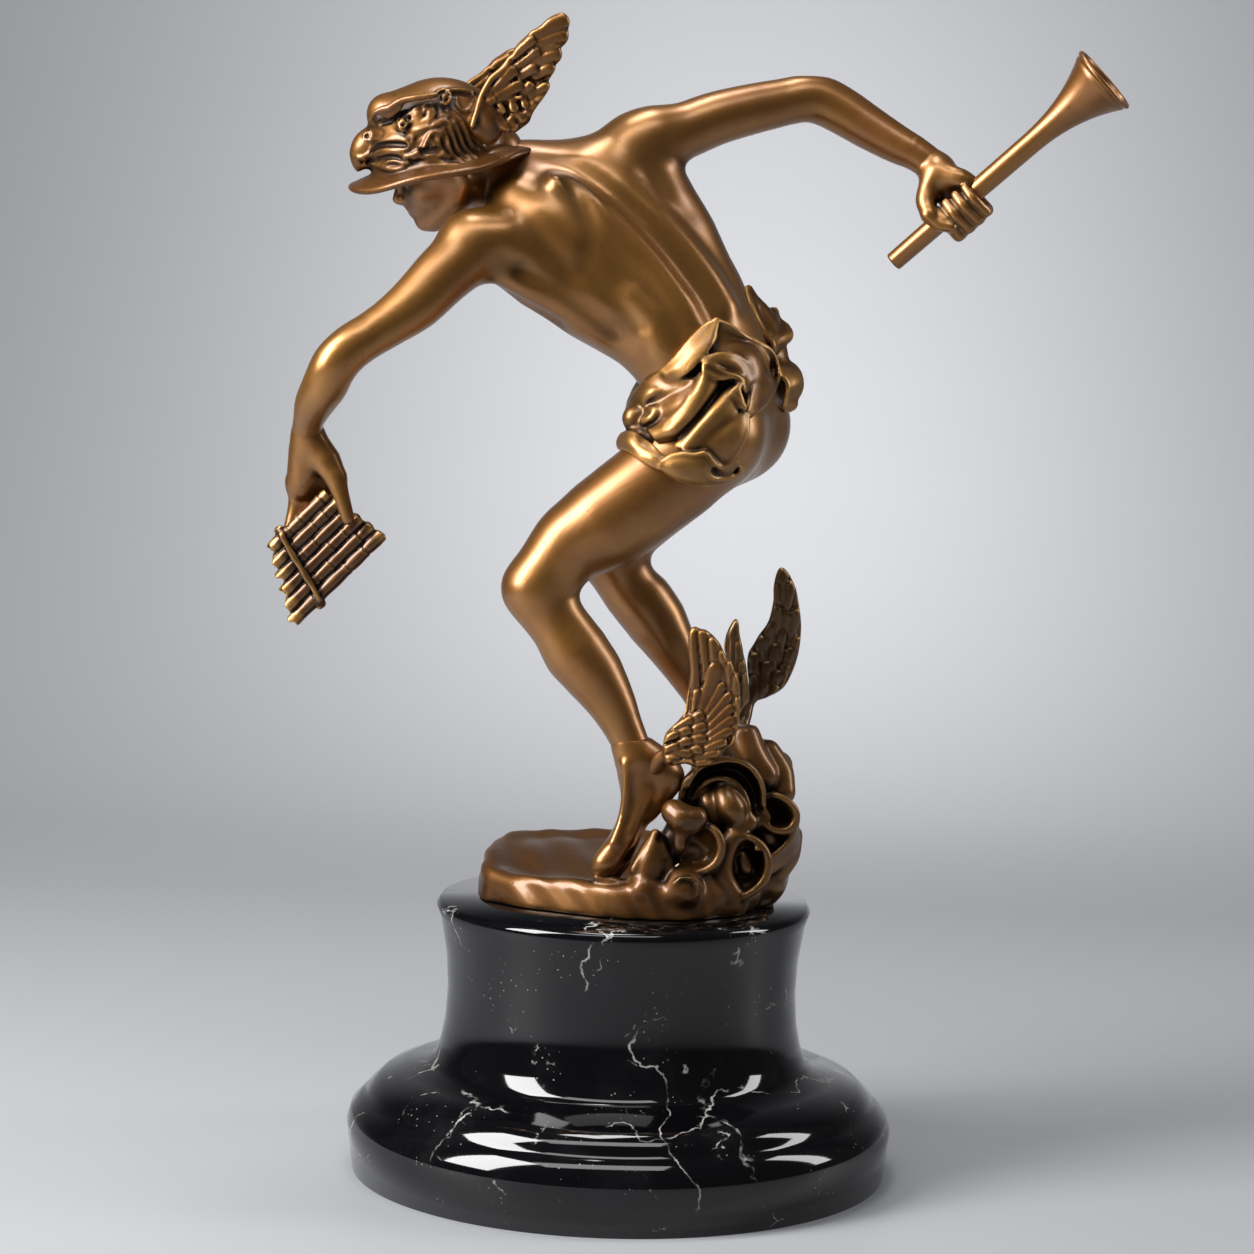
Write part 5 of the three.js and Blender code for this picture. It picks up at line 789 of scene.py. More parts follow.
# The cloth's near side. Its bodies are across, down, depth and radius. Its panels and rims are across, down
# and the lift off the hips, and where the hips don't give one, the point's own depth.
CLOTH_BODIES = seen([
    [(640, 440, -26, 6), (655, 449, -29, 7), (672, 454, -30, 7), (700, 450, -31, 7)],
    [(738, 412, -27, 7), (746, 402, -24, 6)],
])
CLOTH_PANELS = {
    "collar_left": [
        [(663, 371, 2.2), (676, 358, 3.5), (690, 341, 4.5), (704, 327, 5.5), (716, 320, 6)],
        [(666, 374, 3.5), (679, 366, 5.5), (693, 354, 7), (706, 340, 8), (717, 324, 7.5)],
        [(670, 376, 3), (682, 375, 5.5), (694, 365, 7.5), (706, 351, 8.5), (715, 338, 8)],
    ],
    "pocket": [
        [(717, 320, 6), (730, 326, 5.5), (745, 336, 5.5), (760, 343, 5), (772, 352, 4.5),
         (778, 366, 4, -3)],
        [(716, 333, 2.5), (729, 337, 2.5), (743, 345, 2.5), (757, 352, 2.2), (767, 361, 2),
         (772, 371, 2.5)],
        [(712, 347, 1.5), (724, 349, 1.8), (738, 355, 2), (749, 362, 2.2), (759, 371, 2.8), (768, 379, 4)],
        [(706, 358, 3), (718, 358, 3.5), (731, 359, 4), (742, 364, 4.5), (752, 371, 5), (764, 379, 6)],
    ],
    "lobe": [
        [(754, 371, 6), (761, 376, 6.5), (769, 381, 6.5), (777, 381, 5)],
        [(752, 385, 6), (759, 389, 6), (766, 392, 5.5), (772, 393, 4)],
        [(749, 400, 4.5), (754, 402, 4.5), (759, 403, 4), (763, 406, 3)],
        [(746, 413, 3), (749, 414, 2.5), (752, 413, 2.2), (756, 411, 1.8)],
    ],
    "roll_face": [
        [(705, 360, 8), (714, 355.5, 8), (726, 354, 8), (738, 356.5, 7.5), (747, 364, 7), (755, 372, 6.5)],
        [(706, 365, 9.5), (715, 361, 9), (727, 360.5, 9), (737, 364, 8.5), (744, 371, 8), (750, 380, 7)],
        [(712, 365, 7.5), (719, 367.5, 7), (728, 369.5, 7), (736, 372, 7.5), (742, 378, 8), (746, 388, 7)],
        [(716, 370, 4.5), (722, 372.5, 4.5), (729, 374, 5), (736, 376, 5.5), (741, 381, 6.5),
         (745, 392, 6)],
    ],
    "mouth_lip": [
        [(704, 367, 9.5), (709, 363, 9), (716, 368, 8.5), (725, 373, 8.5), (735, 376, 8.5),
         (743, 381, 8.5)],
        [(704, 371, 9.5), (708, 373, 9), (715, 376, 8.5), (724, 377.5, 8.3), (733, 377, 8.3),
         (741, 383, 8)],
    ],
    "long_fold": [
        [(700, 374, 5.5), (693, 387, 5), (685, 396, 5), (673, 405, 4.5), (660, 418, 3.5), (646, 427, 2.5)],
        [(706, 374, 9.5), (699, 389, 8.8), (691, 400, 8.5), (679, 414, 7.5), (667, 425, 6.8),
         (650, 431, 4)],
        [(716, 378, 7.5), (707, 393, 7.5), (697, 408, 7), (686, 421, 6.5), (672, 432, 6), (654, 436, 3.5)],
        [(720, 382, 3), (711, 397, 2.5), (701, 411, 2), (689, 425, 1.5), (675, 437, 1.5), (658, 441, 1)],
    ],
    "hip_panel": [
        [(663, 371, 2.2), (652, 379, 1.5, -24), (640, 387, 1, -19), (633, 399, 1, -14), (634, 410, 1, -13),
         (639, 418, 2, -15)],
        [(672, 378, 3.5), (662, 386, 3), (651, 392, 2.5, -27), (644, 402, 2.5, -24), (644, 409, 2.5, -22),
         (647, 416, 2.5, -22)],
        [(684, 381, 4), (675, 390, 3.5), (664, 396, 3), (656, 404, 2.5), (654, 409, 2.5, -29),
         (655, 413, 3, -29)],
        [(699, 379, 4.5), (689, 389, 4.5), (677, 396, 4), (668, 402, 3.5), (663, 407, 3.5),
         (660, 410, 3.5)],
    ],
    "second_fold": [
        [(639, 418, 2, -17), (650, 413, 3.5, -26), (663, 404, 4.5), (677, 398, 5), (690, 391, 5.5)],
        [(632, 424, 2.5, -18), (648, 419, 5, -27), (662, 411, 6.5), (677, 404, 6.8), (691, 396, 7)],
        [(630, 429, 1.5, -17), (645, 424, 3, -26), (661, 419, 4), (676, 412, 4.5), (689, 402, 5.5)],
    ],
    "right_fold": [
        [(727, 388, 2), (718, 397, 1.8), (707, 408, 1.8), (696, 421, 1.8), (686, 434, 1.8),
         (676, 446, 1.5)],
        [(734, 386, 6.5), (726, 396, 6.5), (716, 408, 6), (705, 421, 5.2), (694, 434, 4.5), (683, 448, 3)],
        [(733, 397, 6.5), (728, 405, 6), (720, 414, 5.5), (710, 426, 4.6), (699, 439, 4), (688, 452, 3)],
        [(738, 404, 4), (734, 411, 4), (727, 419, 3.8), (717, 430, 3.2), (705, 443, 2.8), (694, 455, 2.2)],
    ],
    "corner": [
        [(741, 383, 8.5), (739, 389, 8.5), (741, 396, 8), (745, 408, 6)],
        [(737, 388, 8), (735, 393, 7.5), (738, 399, 7), (743, 407, 6)],
        [(731, 395, 7), (732, 397, 6.5), (736, 402, 6), (741, 407, 5.5)],
    ],
    "bright_panel": [
        [(700, 440, 2.5), (714, 430, 3), (729, 421, 3.5), (741, 414, 3.5), (748, 416, 3)],
        [(703, 447, 3), (717, 439, 4), (730, 432, 4.5), (741, 427, 4.5), (747, 428, 3.5)],
        [(709, 455, 3), (720, 451, 4), (730, 446, 4.5), (738, 442, 4.2), (743, 440, 3.4)],
        [(717, 464, 2.5), (723, 464, 3), (729, 461, 3.2), (734, 456, 3), (738, 450, 2.6)],
    ],
    "band": [
        [(622, 434, 1.5, -20), (632, 433, 3, -29), (643, 439, 3.5), (654, 448, 3), (664, 459, 2.5)],
        [(618, 441, 2, -20), (630, 442, 4.2, -31), (642, 449, 4.5), (652, 457, 4), (661, 464, 3.2)],
        [(619, 448, 1, -20), (628, 450, 2.5, -30), (639, 457, 2.5), (650, 464, 2.2), (659, 467.5, 2)],
    ],
    "hem": [
        [(659, 467, 2.6), (669, 457, 3.5), (682, 454, 4), (695, 455, 4.5), (705, 453, 4.8), (713, 462, 5)],
        [(662, 468, 3), (671, 465, 4.6), (684, 464, 5.2), (697, 465, 5.6), (705, 466, 5.6), (709, 470, 5)],
        [(664, 470, 2.4), (675, 474, 3.6), (688, 477, 4.2), (700, 478, 4.6), (708, 478, 4.6),
         (713, 478, 4.2)],
        [(668, 473, 1.2), (680, 480, 1.8), (692, 483.5, 2.2), (703, 485, 2.4), (714, 484, 2.4),
         (722, 482, 2.2)],
    ],
    "hem_curl": [
        [(713, 478, 4.2), (722, 478.5, 3.6), (731, 477, 3), (738, 473, 2.4), (741, 468, 2)],
        [(716, 483, 2.4), (725, 482, 2), (733, 479.5, 1.6), (741, 474, 1.2), (743, 467, 1)],
    ],
    "inner_curl": [
        [(713, 462, 4.8), (718, 466, 4.6), (725, 468, 4), (732, 463, 3.4), (735, 460, 2.8)],
        [(711, 470, 2), (718, 473, 2), (726, 474, 2), (733, 469, 1.8), (738, 463, 1.5)],
    ],
    "far_frill": [
        [(744, 296, 0, 8), (746, 288, 0, 9), (751, 288, 0, 12), (756, 303, 0, 14), (762, 312, 0, 15),
         (770, 310, 0, 18), (776, 309, 0, 20), (779, 319, 0, 20), (787, 325, 0, 19), (792, 334, 0, 17),
         (789, 341, 0, 15)],
        [(745, 303, 0, 5), (749, 299, 0, 5), (753, 302, 0, 8), (757, 312, 0, 10), (763, 320, 0, 11),
         (769, 321, 0, 12), (774, 322, 0, 13), (776, 327, 0, 13), (781, 332, 0, 12), (784, 337, 0, 11),
         (784, 343, 0, 11)],
        [(747, 311, 0, 4), (752, 311, 0, 3), (756, 316, 0, 4), (760, 322, 0, 5), (765, 328, 0, 6),
         (769, 331, 0, 6), (772, 333, 0, 7), (774, 335, 0, 7), (776, 339, 0, 7), (778, 343, 0, 7),
         (778, 347, 0, 8)],
        [(751, 322, 0, 6), (755, 324, 0, 5), (758, 328, 0, 4), (761, 332, 0, 3), (765, 336, 0, 3),
         (768, 339, 0, 3), (770, 341, 0, 3), (772, 343, 0, 3), (773, 346, 0, 3), (774, 349, 0, 4),
         (775, 352, 0, 5)],
    ],
    "right_ruffle": [
        [(779, 366, 0, 6), (786, 366.5, 0, 9), (792, 364, 0, 12), (799, 371, 0, 12), (802, 381, 0, 10),
         (801, 391, 0, 9), (796, 400, 0, 8), (796, 406, 0, 8), (791, 410, 0, 7), (785, 411, 0, 5)],
        [(779, 369, 0, 3), (784, 371, 0, 2), (789, 372, 0, 4), (794, 377, 0, 4), (796, 383, 0, 3),
         (794, 391, 0, 3), (791, 398, 0, 3), (790, 403, 0, 3), (788, 406, 0, 3), (784, 408, 0, 3)],
        [(779, 373, 0, 0), (782, 377, 0, -2), (785, 380, 0, -2), (787, 384, 0, -2), (787, 389, 0, -2),
         (786, 394, 0, -1), (785, 399, 0, -1), (785, 402, 0, 0), (784, 404, 0, 0), (783, 405, 0, 1)],
    ],
}
CLOTH_RIMS = [
    [(663, 371, 2.4), (676, 358, 3.9), (690, 341, 5), (704, 327, 6), (716, 320, 6.6)],
    [(716, 320, 7), (713, 332, 8.3), (711, 344, 8.8)],
    [(717, 320, 6.8), (730, 326, 6.5), (745, 336, 6.5), (760, 343, 6), (772, 352, 5.4), (778, 366, 5, -4),
     (779, 377, 5, -6), (775, 382, 5.5), (767, 380.5, 6.8), (755, 372, 7)],
    [(779, 377, 4.5), (773, 391, 4), (765, 404, 3.4), (757, 410, 2.6), (748, 415, 3)],
    [(704, 367, 10), (705, 360, 9), (714, 355.5, 9), (726, 354, 9), (738, 356.5, 8.5), (747, 364, 8),
     (755, 372, 7.3)],
    [(706, 364, 10), (716, 368.5, 9.3), (726, 373, 9.2), (736, 375.5, 9.2), (743, 381, 9.3), (744, 390, 8)],
    [(704, 371, 10), (712, 376.5, 9.6), (723, 378.5, 9), (733, 377, 8.8), (740, 382, 9)],
    [(740, 384, 9.3), (735, 390, 8.6), (731, 395, 7.8), (737, 401, 7), (745, 408, 6.8)],
    [(690, 397, 8.6), (684, 407, 8), (675, 416, 7.6), (666, 424, 7.2), (664, 430, 6)],
    [(748, 416, 3.6), (748, 428, 4.2), (744, 440, 4), (738, 451, 3.6), (731, 460, 3.6), (723, 466, 3.6),
     (717, 464, 3.6)],
    [(659, 467, 3.2), (669, 457, 4.2), (682, 454, 4.8), (695, 455, 5.4), (705, 453, 5.8), (713, 462, 6),
     (720, 467, 5), (729, 464, 4)],
    [(708, 463, 6), (706, 470, 6), (710, 477, 5.4), (722, 479, 4.4), (734, 476.5, 3.4), (741, 469, 2.6),
     (737, 461, 2.4)],
    [(639, 418, 2.6, -17), (650, 416, 4, -27), (664, 405, 5.2), (680, 398, 6.2)],
]
# The turned plinth, as radius and height
PLINTH_PROFILE = [
    [117.5, 0], [119.7, 18], [120, 21], [118.2, 27], [113.5, 31.5], [111, 33], [110.6, 35], [105, 40],
    [95, 44],
    [85, 46.6], [81.6, 50], [79.4, 57], [77.5, 67], [76.7, 81], [77.6, 96], [80.4, 112], [82.2, 117],
    [80.5, 119.8],
]
# Masses that run limbs and trunk together
TRUNK_FORMS = [
    {"points": [[-38, 10, 305, 17], [-52, 9, 314, 15], [-68, 8, 316, 13.5]], "soft": 12},
    {"points": [[-72, -20, 284, 13], [-54, -12, 288, 16], [-30, -4, 292, 18]], "soft": 12},
    {"points": [[2, 14, 330, 13], [-12, 10, 319, 16], [-26, 6, 306, 18]], "soft": 12},
    {"points": [[-58, -14, 276, 7], [-44, -14, 269, 12], [-22, -10, 262, 14], [4, -4, 250, 12]], "soft": 10},
    {"points": [[8, 16, 320, 7], [10, 14, 308, 12], [19, 12, 291, 12.5], [30, 8, 270, 10]], "soft": 10},
    {"points": [[-36, -12, 292, 10], [-24, -15, 283, 8], [-10, -14, 279, 5]], "soft": 10},
]
# Feet: the near one in pixels with depth and radius, the far one in millimetres
NEAR_FOOT = {
    "forms": seen([
        [(626, 735, -29.8, 6.6), (629, 745, -30, 7.9), (635, 759, -30, 9), (637, 775, -30, 8.4),
         (637, 797, -31, 7), (631, 819, -33, 5.8), (623, 837, -35, 5.2)],
        [(640, 752, -29, 7.4), (655, 764, -28, 8.4), (667, 777, -27, 7.6)],
        [(660, 774, -28, 8), (658, 792, -29, 6.8), (648, 810, -30, 5)],
        [(641, 800, -27, 5.6), (632, 832, -28, 5), (622, 854, -29, 4.6)],
    ]),
    "toes": seen([
        [(623, 837, -36, 5.2), (613, 852, -38.5, 5.4), (606, 862, -39.5, 5.8), (603, 867, -39, 5.2)],
        [(614, 860, -33, 4), (606, 870, -33.5, 3.6), (600, 876, -33, 3)],
        [(616, 860, -28, 3.6), (608, 872, -28.4, 3.2), (604, 877, -28, 2.8)],
        [(620, 862, -23.6, 3.3), (613, 873, -24, 2.8), (609, 877, -24, 2.5)],
        [(624, 862, -19.6, 3), (617, 872, -19.6, 2.6), (614, 876, -19.6, 2.4)],
    ]),
    "tendons": seen([
        [(626, 765, -37, 1.8), (626, 790, -38, 1.8), (622, 818, -38.5, 1.6), (614, 842, -42, 1.6)],
        [(648, 790, -35, 1.8), (640, 812, -36.5, 1.6), (630, 834, -39, 1.6)],
    ]),
}
FAR_FOOT = {
    "forms": [
        [[35.4, 27.8, 85, 6.6], [38, 28, 79, 7.9], [40, 28.5, 69, 8.8], [37, 30, 58, 8], [34, 31, 48, 6],
         [32, 32, 42, 5.2]],
        [[38, 28, 77, 7.6], [47, 29, 69, 7.6], [51, 29, 66, 7]],
        [[51, 29, 65, 6.6], [44, 29, 56, 6], [36, 30, 46, 5.4]],
    ],
    "toes": [
        [[32, 30, 40, 4.6], [26, 29, 36.4, 4.2], [21, 28.6, 33.6, 4.4]],
        [[33, 33, 40, 3.8], [27, 33, 36, 3.4], [23, 33, 33.4, 3.2]],
        [[34, 36.4, 39.6, 3.4], [28.6, 37, 35.6, 3.1], [25, 37.2, 33.2, 2.9]],
        [[35, 39.6, 39, 3.2], [30, 40.4, 35.2, 2.8], [27, 40.8, 33, 2.6]],
        [[36, 42.4, 38.4, 3], [32, 43.4, 35, 2.6], [29.6, 43.8, 33, 2.4]],
    ],
    "tendons": [[[45, 21, 65, 2], [39, 21.5, 57, 2], [35, 24, 47, 1.8], [29, 25.4, 39, 1.6]]],
}


LOCAL = Frame([0, 0, 0], [1, 0, 0], [0, 0, 1])
HEAD = Frame([-88, 7, 322], [-0.955, 0.05, -0.29], [-0.28, -0.17, 0.945])
FIST = Frame([137.5, 12, 305.8], [0.718, -0.202, 0.666], [-0.148, -0.98, -0.138])
RAFT = Frame([-135.7, -20, 152.1], [0.7, 0, 0.714], [0, -1, 0])
BOTH_SIDES = (1, -1)


def mirrored(points, side):
    """Points of a frame, or the same on its other side."""
    return [[f, l * side, u, r] for f, l, u, r in points]


def sculpt_chest(clay):
    """The breast and the belly's paired muscles, each laid on a ring of the trunk."""
    rings = [Frame(ring["at"], ring["facing"], SPINE) for ring in TRUNK]
    for side in BOTH_SIDES:
        clay.add(strand([[*rings[4].place(18.5, 7 * side, 1), 8.5], [*rings[4].place(18, 19 * side, 3), 9],
                         [*rings[5].place(11, 27 * side, 1), 7]]), 4)
        for ring, reach in zip(rings[1:4], (17, 15.5, 16.5)):
            muscle = [[*ring.place(reach, 4 * side, 0), 6.4], [*ring.place(reach - 1, 10 * side, 0), 6]]
            clay.add(strand(muscle), 2.5)


def lay_trunk(clay):
    """The bare trunk, ring by ring."""
    for a, b in zip(TRUNK, TRUNK[1:]):
        flat = (a["depth"] + b["depth"]) / (a["width"] + b["width"])
        clay.add(limb(a["at"], b["at"], a["width"], b["width"], flat, mix(a["facing"], b["facing"], 0.5)), 10)


def lay_seat(clay):
    """The near and the far buttock."""
    for place, width in (([32, -16, 206], 21), ([47, 19, 208], 20)):
        clay.add(egg(Frame(place, [-1, 0, 0], [0, 0, 1]), width, 19, 23), 8)


def sculpt_body():
    clay = Clay([-152, -62, 48], [150, 62, 362], 1.2)
    lay_trunk(clay)
    for form in TRUNK_FORMS:
        clay.add(strand(form["points"]), form["soft"])
    lay_seat(clay)
    for muscle in BACK_MUSCLES:
        clay.add(strand(muscle), 7)
    for hollow in BACK_HOLLOWS:
        clay.press(strand(hollow), 4.5)
    sculpt_chest(clay)
    for form in (NEAR_THIGH, NEAR_SHIN, FAR_THIGH, FAR_SHIN, NEAR_ARM, FAR_ARM):
        clay.add(strand(form), 6)
    return clay


def sculpt_foot(foot, low, high):
    clay = Clay(low, high, 0.7)
    for form in foot["forms"]:
        clay.add(strand(form), 4)
    for toe in foot["toes"]:
        clay.add(strand(toe), 1.6)
    for tendon in foot["tendons"]:
        clay.add(strand(tendon), 3)
    return clay


def sculpt_horn_hand():
    clay = Clay([108, -10, 280], [160, 40, 342], 0.6)

    def fist(along, up, out):
        return FIST.place(along, up, out)
    palm = [[*fist(3.5, 15, -7), 7.2], [*fist(1.5, 5, -7), 7.6], [*fist(1.5, -5, -5), 6.6]]
    clay.add(strand([[129, 20, 322, 7], *palm]), 5)
    clay.add(strand([[118, 22.4, 330, 7.3], [129, 20, 322, 7]]), 3)
    clay.add(strand([[*fist(3, 16, -3), 5], [*fist(9, 8, 0), 4.8], [*fist(11, 1, -1), 4]]), 4)
    clay.add(strand([[*fist(-1, 16, -4), 5], [*fist(-8, 11, 1), 4.8], [*fist(-10.5, 5.5, 6), 3.7]]), 4)
    clay.add(strand([[*fist(-10.5, 5.5, 6), 3.5], [*fist(-10, 0, 8), 2.9], [*fist(-6.5, -4.5, 9), 2.5]]), 2)
    for along, radius in ((-7, 2.7), (-1.8, 2.8), (3.5, 2.7), (8.6, 2.3)):
        knuckle, bend = fist(along, -9.6, -3.2), fist(along, -9.6, 4.4)
        clay.add(strand([[*fist(along * 0.9, -2, -8), radius + 0.8], [*knuckle, radius + 0.7]]), 2)
        clay.add(limb(knuckle, bend, radius + 0.3, radius - 0.1), 0.6)
        tip = [[*fist(along, -2, 7.8), radius - 0.1], [*fist(along, 4.4, 5), radius - 0.4]]
        clay.add(strand([[*bend, radius + 0.2], *tip]), 0.5)
    return clay


def sculpt_pipe_hand():
    clay = Clay([-160, -40, 152], [-110, 4, 212], 0.6)
    palm = [[-141, -20, 195, 7.5], [-142, -17, 186, 7.3], [-143.5, -14.5, 179, 6]]
    clay.add(strand([[-140.5, -23, 203, 6.6], *palm]), 5)
    clay.add(strand([[-139, -23, 201, 6], [-132, -24, 191, 6.4], [-127.5, -26, 184, 4.6]]), 4)
    clay.add(strand([[-127.5, -26, 184, 4.4], [-124.5, -27.5, 175, 3.4], [-122, -27, 166.5, 3]]), 2)
    for i in range(4):
        root = mix([-146, -15, 181], [-133, -13, 187], i / 3)
        middle = mix([-145.5, -12.5, 171], [-131, -11, 175], i / 3)
        tip = RAFT.place(-10 + 5.5 * i, 10 - 2 * i, -6.4)
        clay.add(strand([[*root, 4.2], [*middle, 3.6], [*tip, 2.9]]), 2)
    return clay


def sculpt_head():
    clay = Clay([-34, -26, -40], [36, 26, 26], 0.7)
    clay.add(egg(LOCAL, 24, 18.5, 23.5), 3)
    clay.add(strand([[4, 0, -8, 15], [9, 0, -13, 11.5], [14.5, 0, -19, 7]]), 6)
    clay.add(strand([[15, 0, 2, 8], [14.5, 0, -8, 8.5]]), 5)
    for side in BOTH_SIDES:
        clay.add(strand([[-4, 13 * side, -9, 6], [1, 12 * side, -17, 4.5], [14, 4.5 * side, -23.5, 3.8]]), 5)
        clay.add(strand([[14, 9.5 * side, -8.5, 4.6]]), 6)
        clay.press(strand([[23.6, 6.6 * side, -3.6, 2.6], [21.8, 10 * side, -3.8, 2.4]]), 3)
    brows = [[19.3, -9, 0, 2.2], [22, -3.5, 0.6, 2.5], [22.4, 0, 0.4, 2.6], [22, 3.5, 0.6, 2.5],
             [19.3, 9, 0, 2.2]]
    clay.add(strand(brows), 3)
    clay.add(strand([[22.2, 0, 0, 2.2], [24.6, 0, -5, 1.9], [27.2, 0, -10, 2.2]]), 2.5)
    clay.add(strand([[23.5, -2.5, -10.8, 1.7], [25.6, 0, -11, 2], [23.5, 2.5, -10.8, 1.7]]), 1.5)
    clay.add(strand([[17, -5, -14.5, 4], [18.2, 0, -15, 5.2], [17, 5, -14.5, 4]]), 4)
    upper_lip = [[19.8, -5, -15.4, 1.1], [23, -1.6, -14.6, 1.6], [23, 1.6, -14.6, 1.6], [19.8, 5, -15.4, 1.1]]
    lower_lip = [[19.8, -4.4, -16.9, 1.1], [22.4, 0, -17.6, 1.9], [19.8, 4.4, -16.9, 1.1]]
    clay.add(strand(upper_lip), 1.2)
    clay.add(strand(lower_lip), 1.2)
    clay.add(strand([[18.6, -2, -22.4, 3.6], [18.6, 2, -22.4, 3.6]]), 3)
    eye = [[18.4, 7.2, -4, 3.4]]
    lid = [[21.9, 4.2, -4.6, 0.35], [21.4, 7.4, -5.6, 0.35], [19.4, 10.4, -4.6, 0.35]]
    ear = [[-3, 17.5, -1, 3], [-5, 18, -7, 2.6], [-3.5, 16.5, -12, 2]]
    for side in BOTH_SIDES:
        clay.add(strand(mirrored(eye, side)), 0.8)
        clay.press(strand(mirrored(lid, side)), 0.6)
        clay.add(strand(mirrored(ear, side)), 1.5)
    clay.add(strand([[-14, 0, -14, 12], [-20, 0, -2, 12]]), 6)
    return clay


BRIM = {"front": 41, "side": 33.5, "thick": 1.4}


def brim_height(turn):
    return -4.85 + 2.4 * np.cos(turn) - 0.55 * np.cos(2 * turn) + 0.7 * np.sin(5 * turn + 1)


HELMET_BOX = [-44, -37, -16], [44, 37, 40], 0.55
RIDGE_SHARE = 0.82


def lay_masses(clay):
    """The eagle in the rough, on which its finer lines find their depth."""
    mouth = [[31, 3.5, 6.6, 0.9], [26, 7.5, 8.8, 1.2], [21, 10, 11, 1.3], [12, 14.5, 10.2, 1.3]]
    hollow = [[16, 16, 20, 3], [8, 20, 19.5, 3.6], [1, 21, 20, 2.6]]
    eye = [[8.7, 17.6, 18.4, 3.4]]
    brow = [[23, 8.5, 25, 1.6], [18, 12, 26.7, 2.3], [10.5, 14.5, 26.5, 2.6], [3.4, 16.5, 27.4, 2.4],
            [-2, 17.5, 27.4, 2.2], [-7.4, 18, 26.4, 2.2], [-11.6, 17.5, 24, 2.4], [-9.5, 18.5, 21.6, 2]]
    jaw = [[27, 6.5, 5.4, 1.6], [19, 12, 5.4, 1.8], [7, 19.5, 5.2, 1.8], [-3, 23, 5.4, 1.5]]
    for side in BOTH_SIDES:
        clay.press(strand(mirrored(mouth, side)), 1)
        clay.press(strand(mirrored(hollow, side)), 3)
        clay.add(strand(mirrored(eye, side)), 1)
        clay.add(strand(mirrored(brow, side)), 1.5)
        clay.add(strand(mirrored(jaw, side)), 1.2)


def sculpt_helmet():
    clay = Clay(*HELMET_BOX)

    def share(q, s):
        """How far out towards the brim's edge a place is, from 0 to 1."""
        return np.hypot(q / BRIM["front"], s / BRIM["side"])

    def out(q, s):
        return (share(q, s) - 1) * BRIM["side"]

    def rise(q, s):
        return lerp(1, brim_height(np.arctan2(s / BRIM["side"], q / BRIM["front"])), share(q, s) ** 2)
    clay.add(plate(LOCAL, 44, out, rise, BRIM["thick"]), 2)
    turns = np.linspace(0, 2 * math.pi, 73)
    long, wide = BRIM["front"] - 1, BRIM["side"] - 1
    rim = [[long * math.cos(t), wide * math.sin(t), float(brim_height(t)) + 0.1, 1.5] for t in turns]
    clay.add([limb(p[:3], q[:3], p[3], q[3]) for p, q in zip(rim, rim[1:])], 0.8)
    crown = egg(Frame([-2, 0, 3], [1, 0, 0], [0, 0, 1]), 30.5, 24, 30.5)
    clay.add(Shape(lambda x, y, z: np.maximum(crown.distance(x, y, z), -1.5 - z), crown.low, crown.high), 4)
    clay.add(strand([[10, 0, 20, 11], [16, 0, 23.5, 9]]), 5)
    beak = [[20, 0, 13, 9], [27, 0, 12, 8], [30.5, 0, 9.8, 6.6], [33.4, 0, 7, 3.7], [35.2, 0, 4.2, 1.3]]
    clay.add(strand(beak, flat=0.85), 2)
    clay.add(strand([[27.5, 0, 4.6, 3], [20, 0, 5.5, 6.5], [12, 0, 5, 12]]), 2)
    guide = Clay(*HELMET_BOX)
    guide.values = clay.values.copy()
    lay_masses(guide)
    ridges = [on_clay(guide, HEAD, *row) for row in EAGLE_RIDGES]
    grooves = [on_clay(guide, HEAD, *row) for row in EAGLE_GROOVES]
    for side in BOTH_SIDES:
        for ridge in ridges:
            thin = [[*place, RIDGE_SHARE * radius] for *place, radius in mirrored(ridge, side)]
            clay.add(strand(thin, steps=4 * len(ridge)), 1.3)
        for groove in grooves:
            clay.press(strand(mirrored(groove, side), steps=4 * len(groove)), 0.6)
    return clay


def rounded(outline):
    """A closed outline with its corners cut twice."""
    for _ in range(2):
        ends = zip(outline, outline[1:] + outline[:1])
        outline = [mix(a, b, t) for a, b in ends for t in (0.25, 0.75)]
    return outline


def slab_height(x, y, edge):
    """The rippled and dished top of the slab, at points that lie edge outside it."""
    wave = 0.9 * np.sin(0.11 * x - 0.05 * y + 1) * np.sin(0.07 * y + 0.4) + 0.3 * np.sin(0.31 * x + 0.13 * y)
    dish = 3 * np.exp(-(((x + 24) / 26) ** 2) - ((y + 12) / 16) ** 2)
    swell = 2.2 * np.exp(-(((x + 14) / 12) ** 2) - ((y + 33) / 7) ** 2)
    return 14 + 9 * smooth(-30, 44, y) - 2.5 * smooth(4, 16, -edge) + wave - dish + swell


SLAB_ROUND = 4
CLOUD_THICK = 1.5


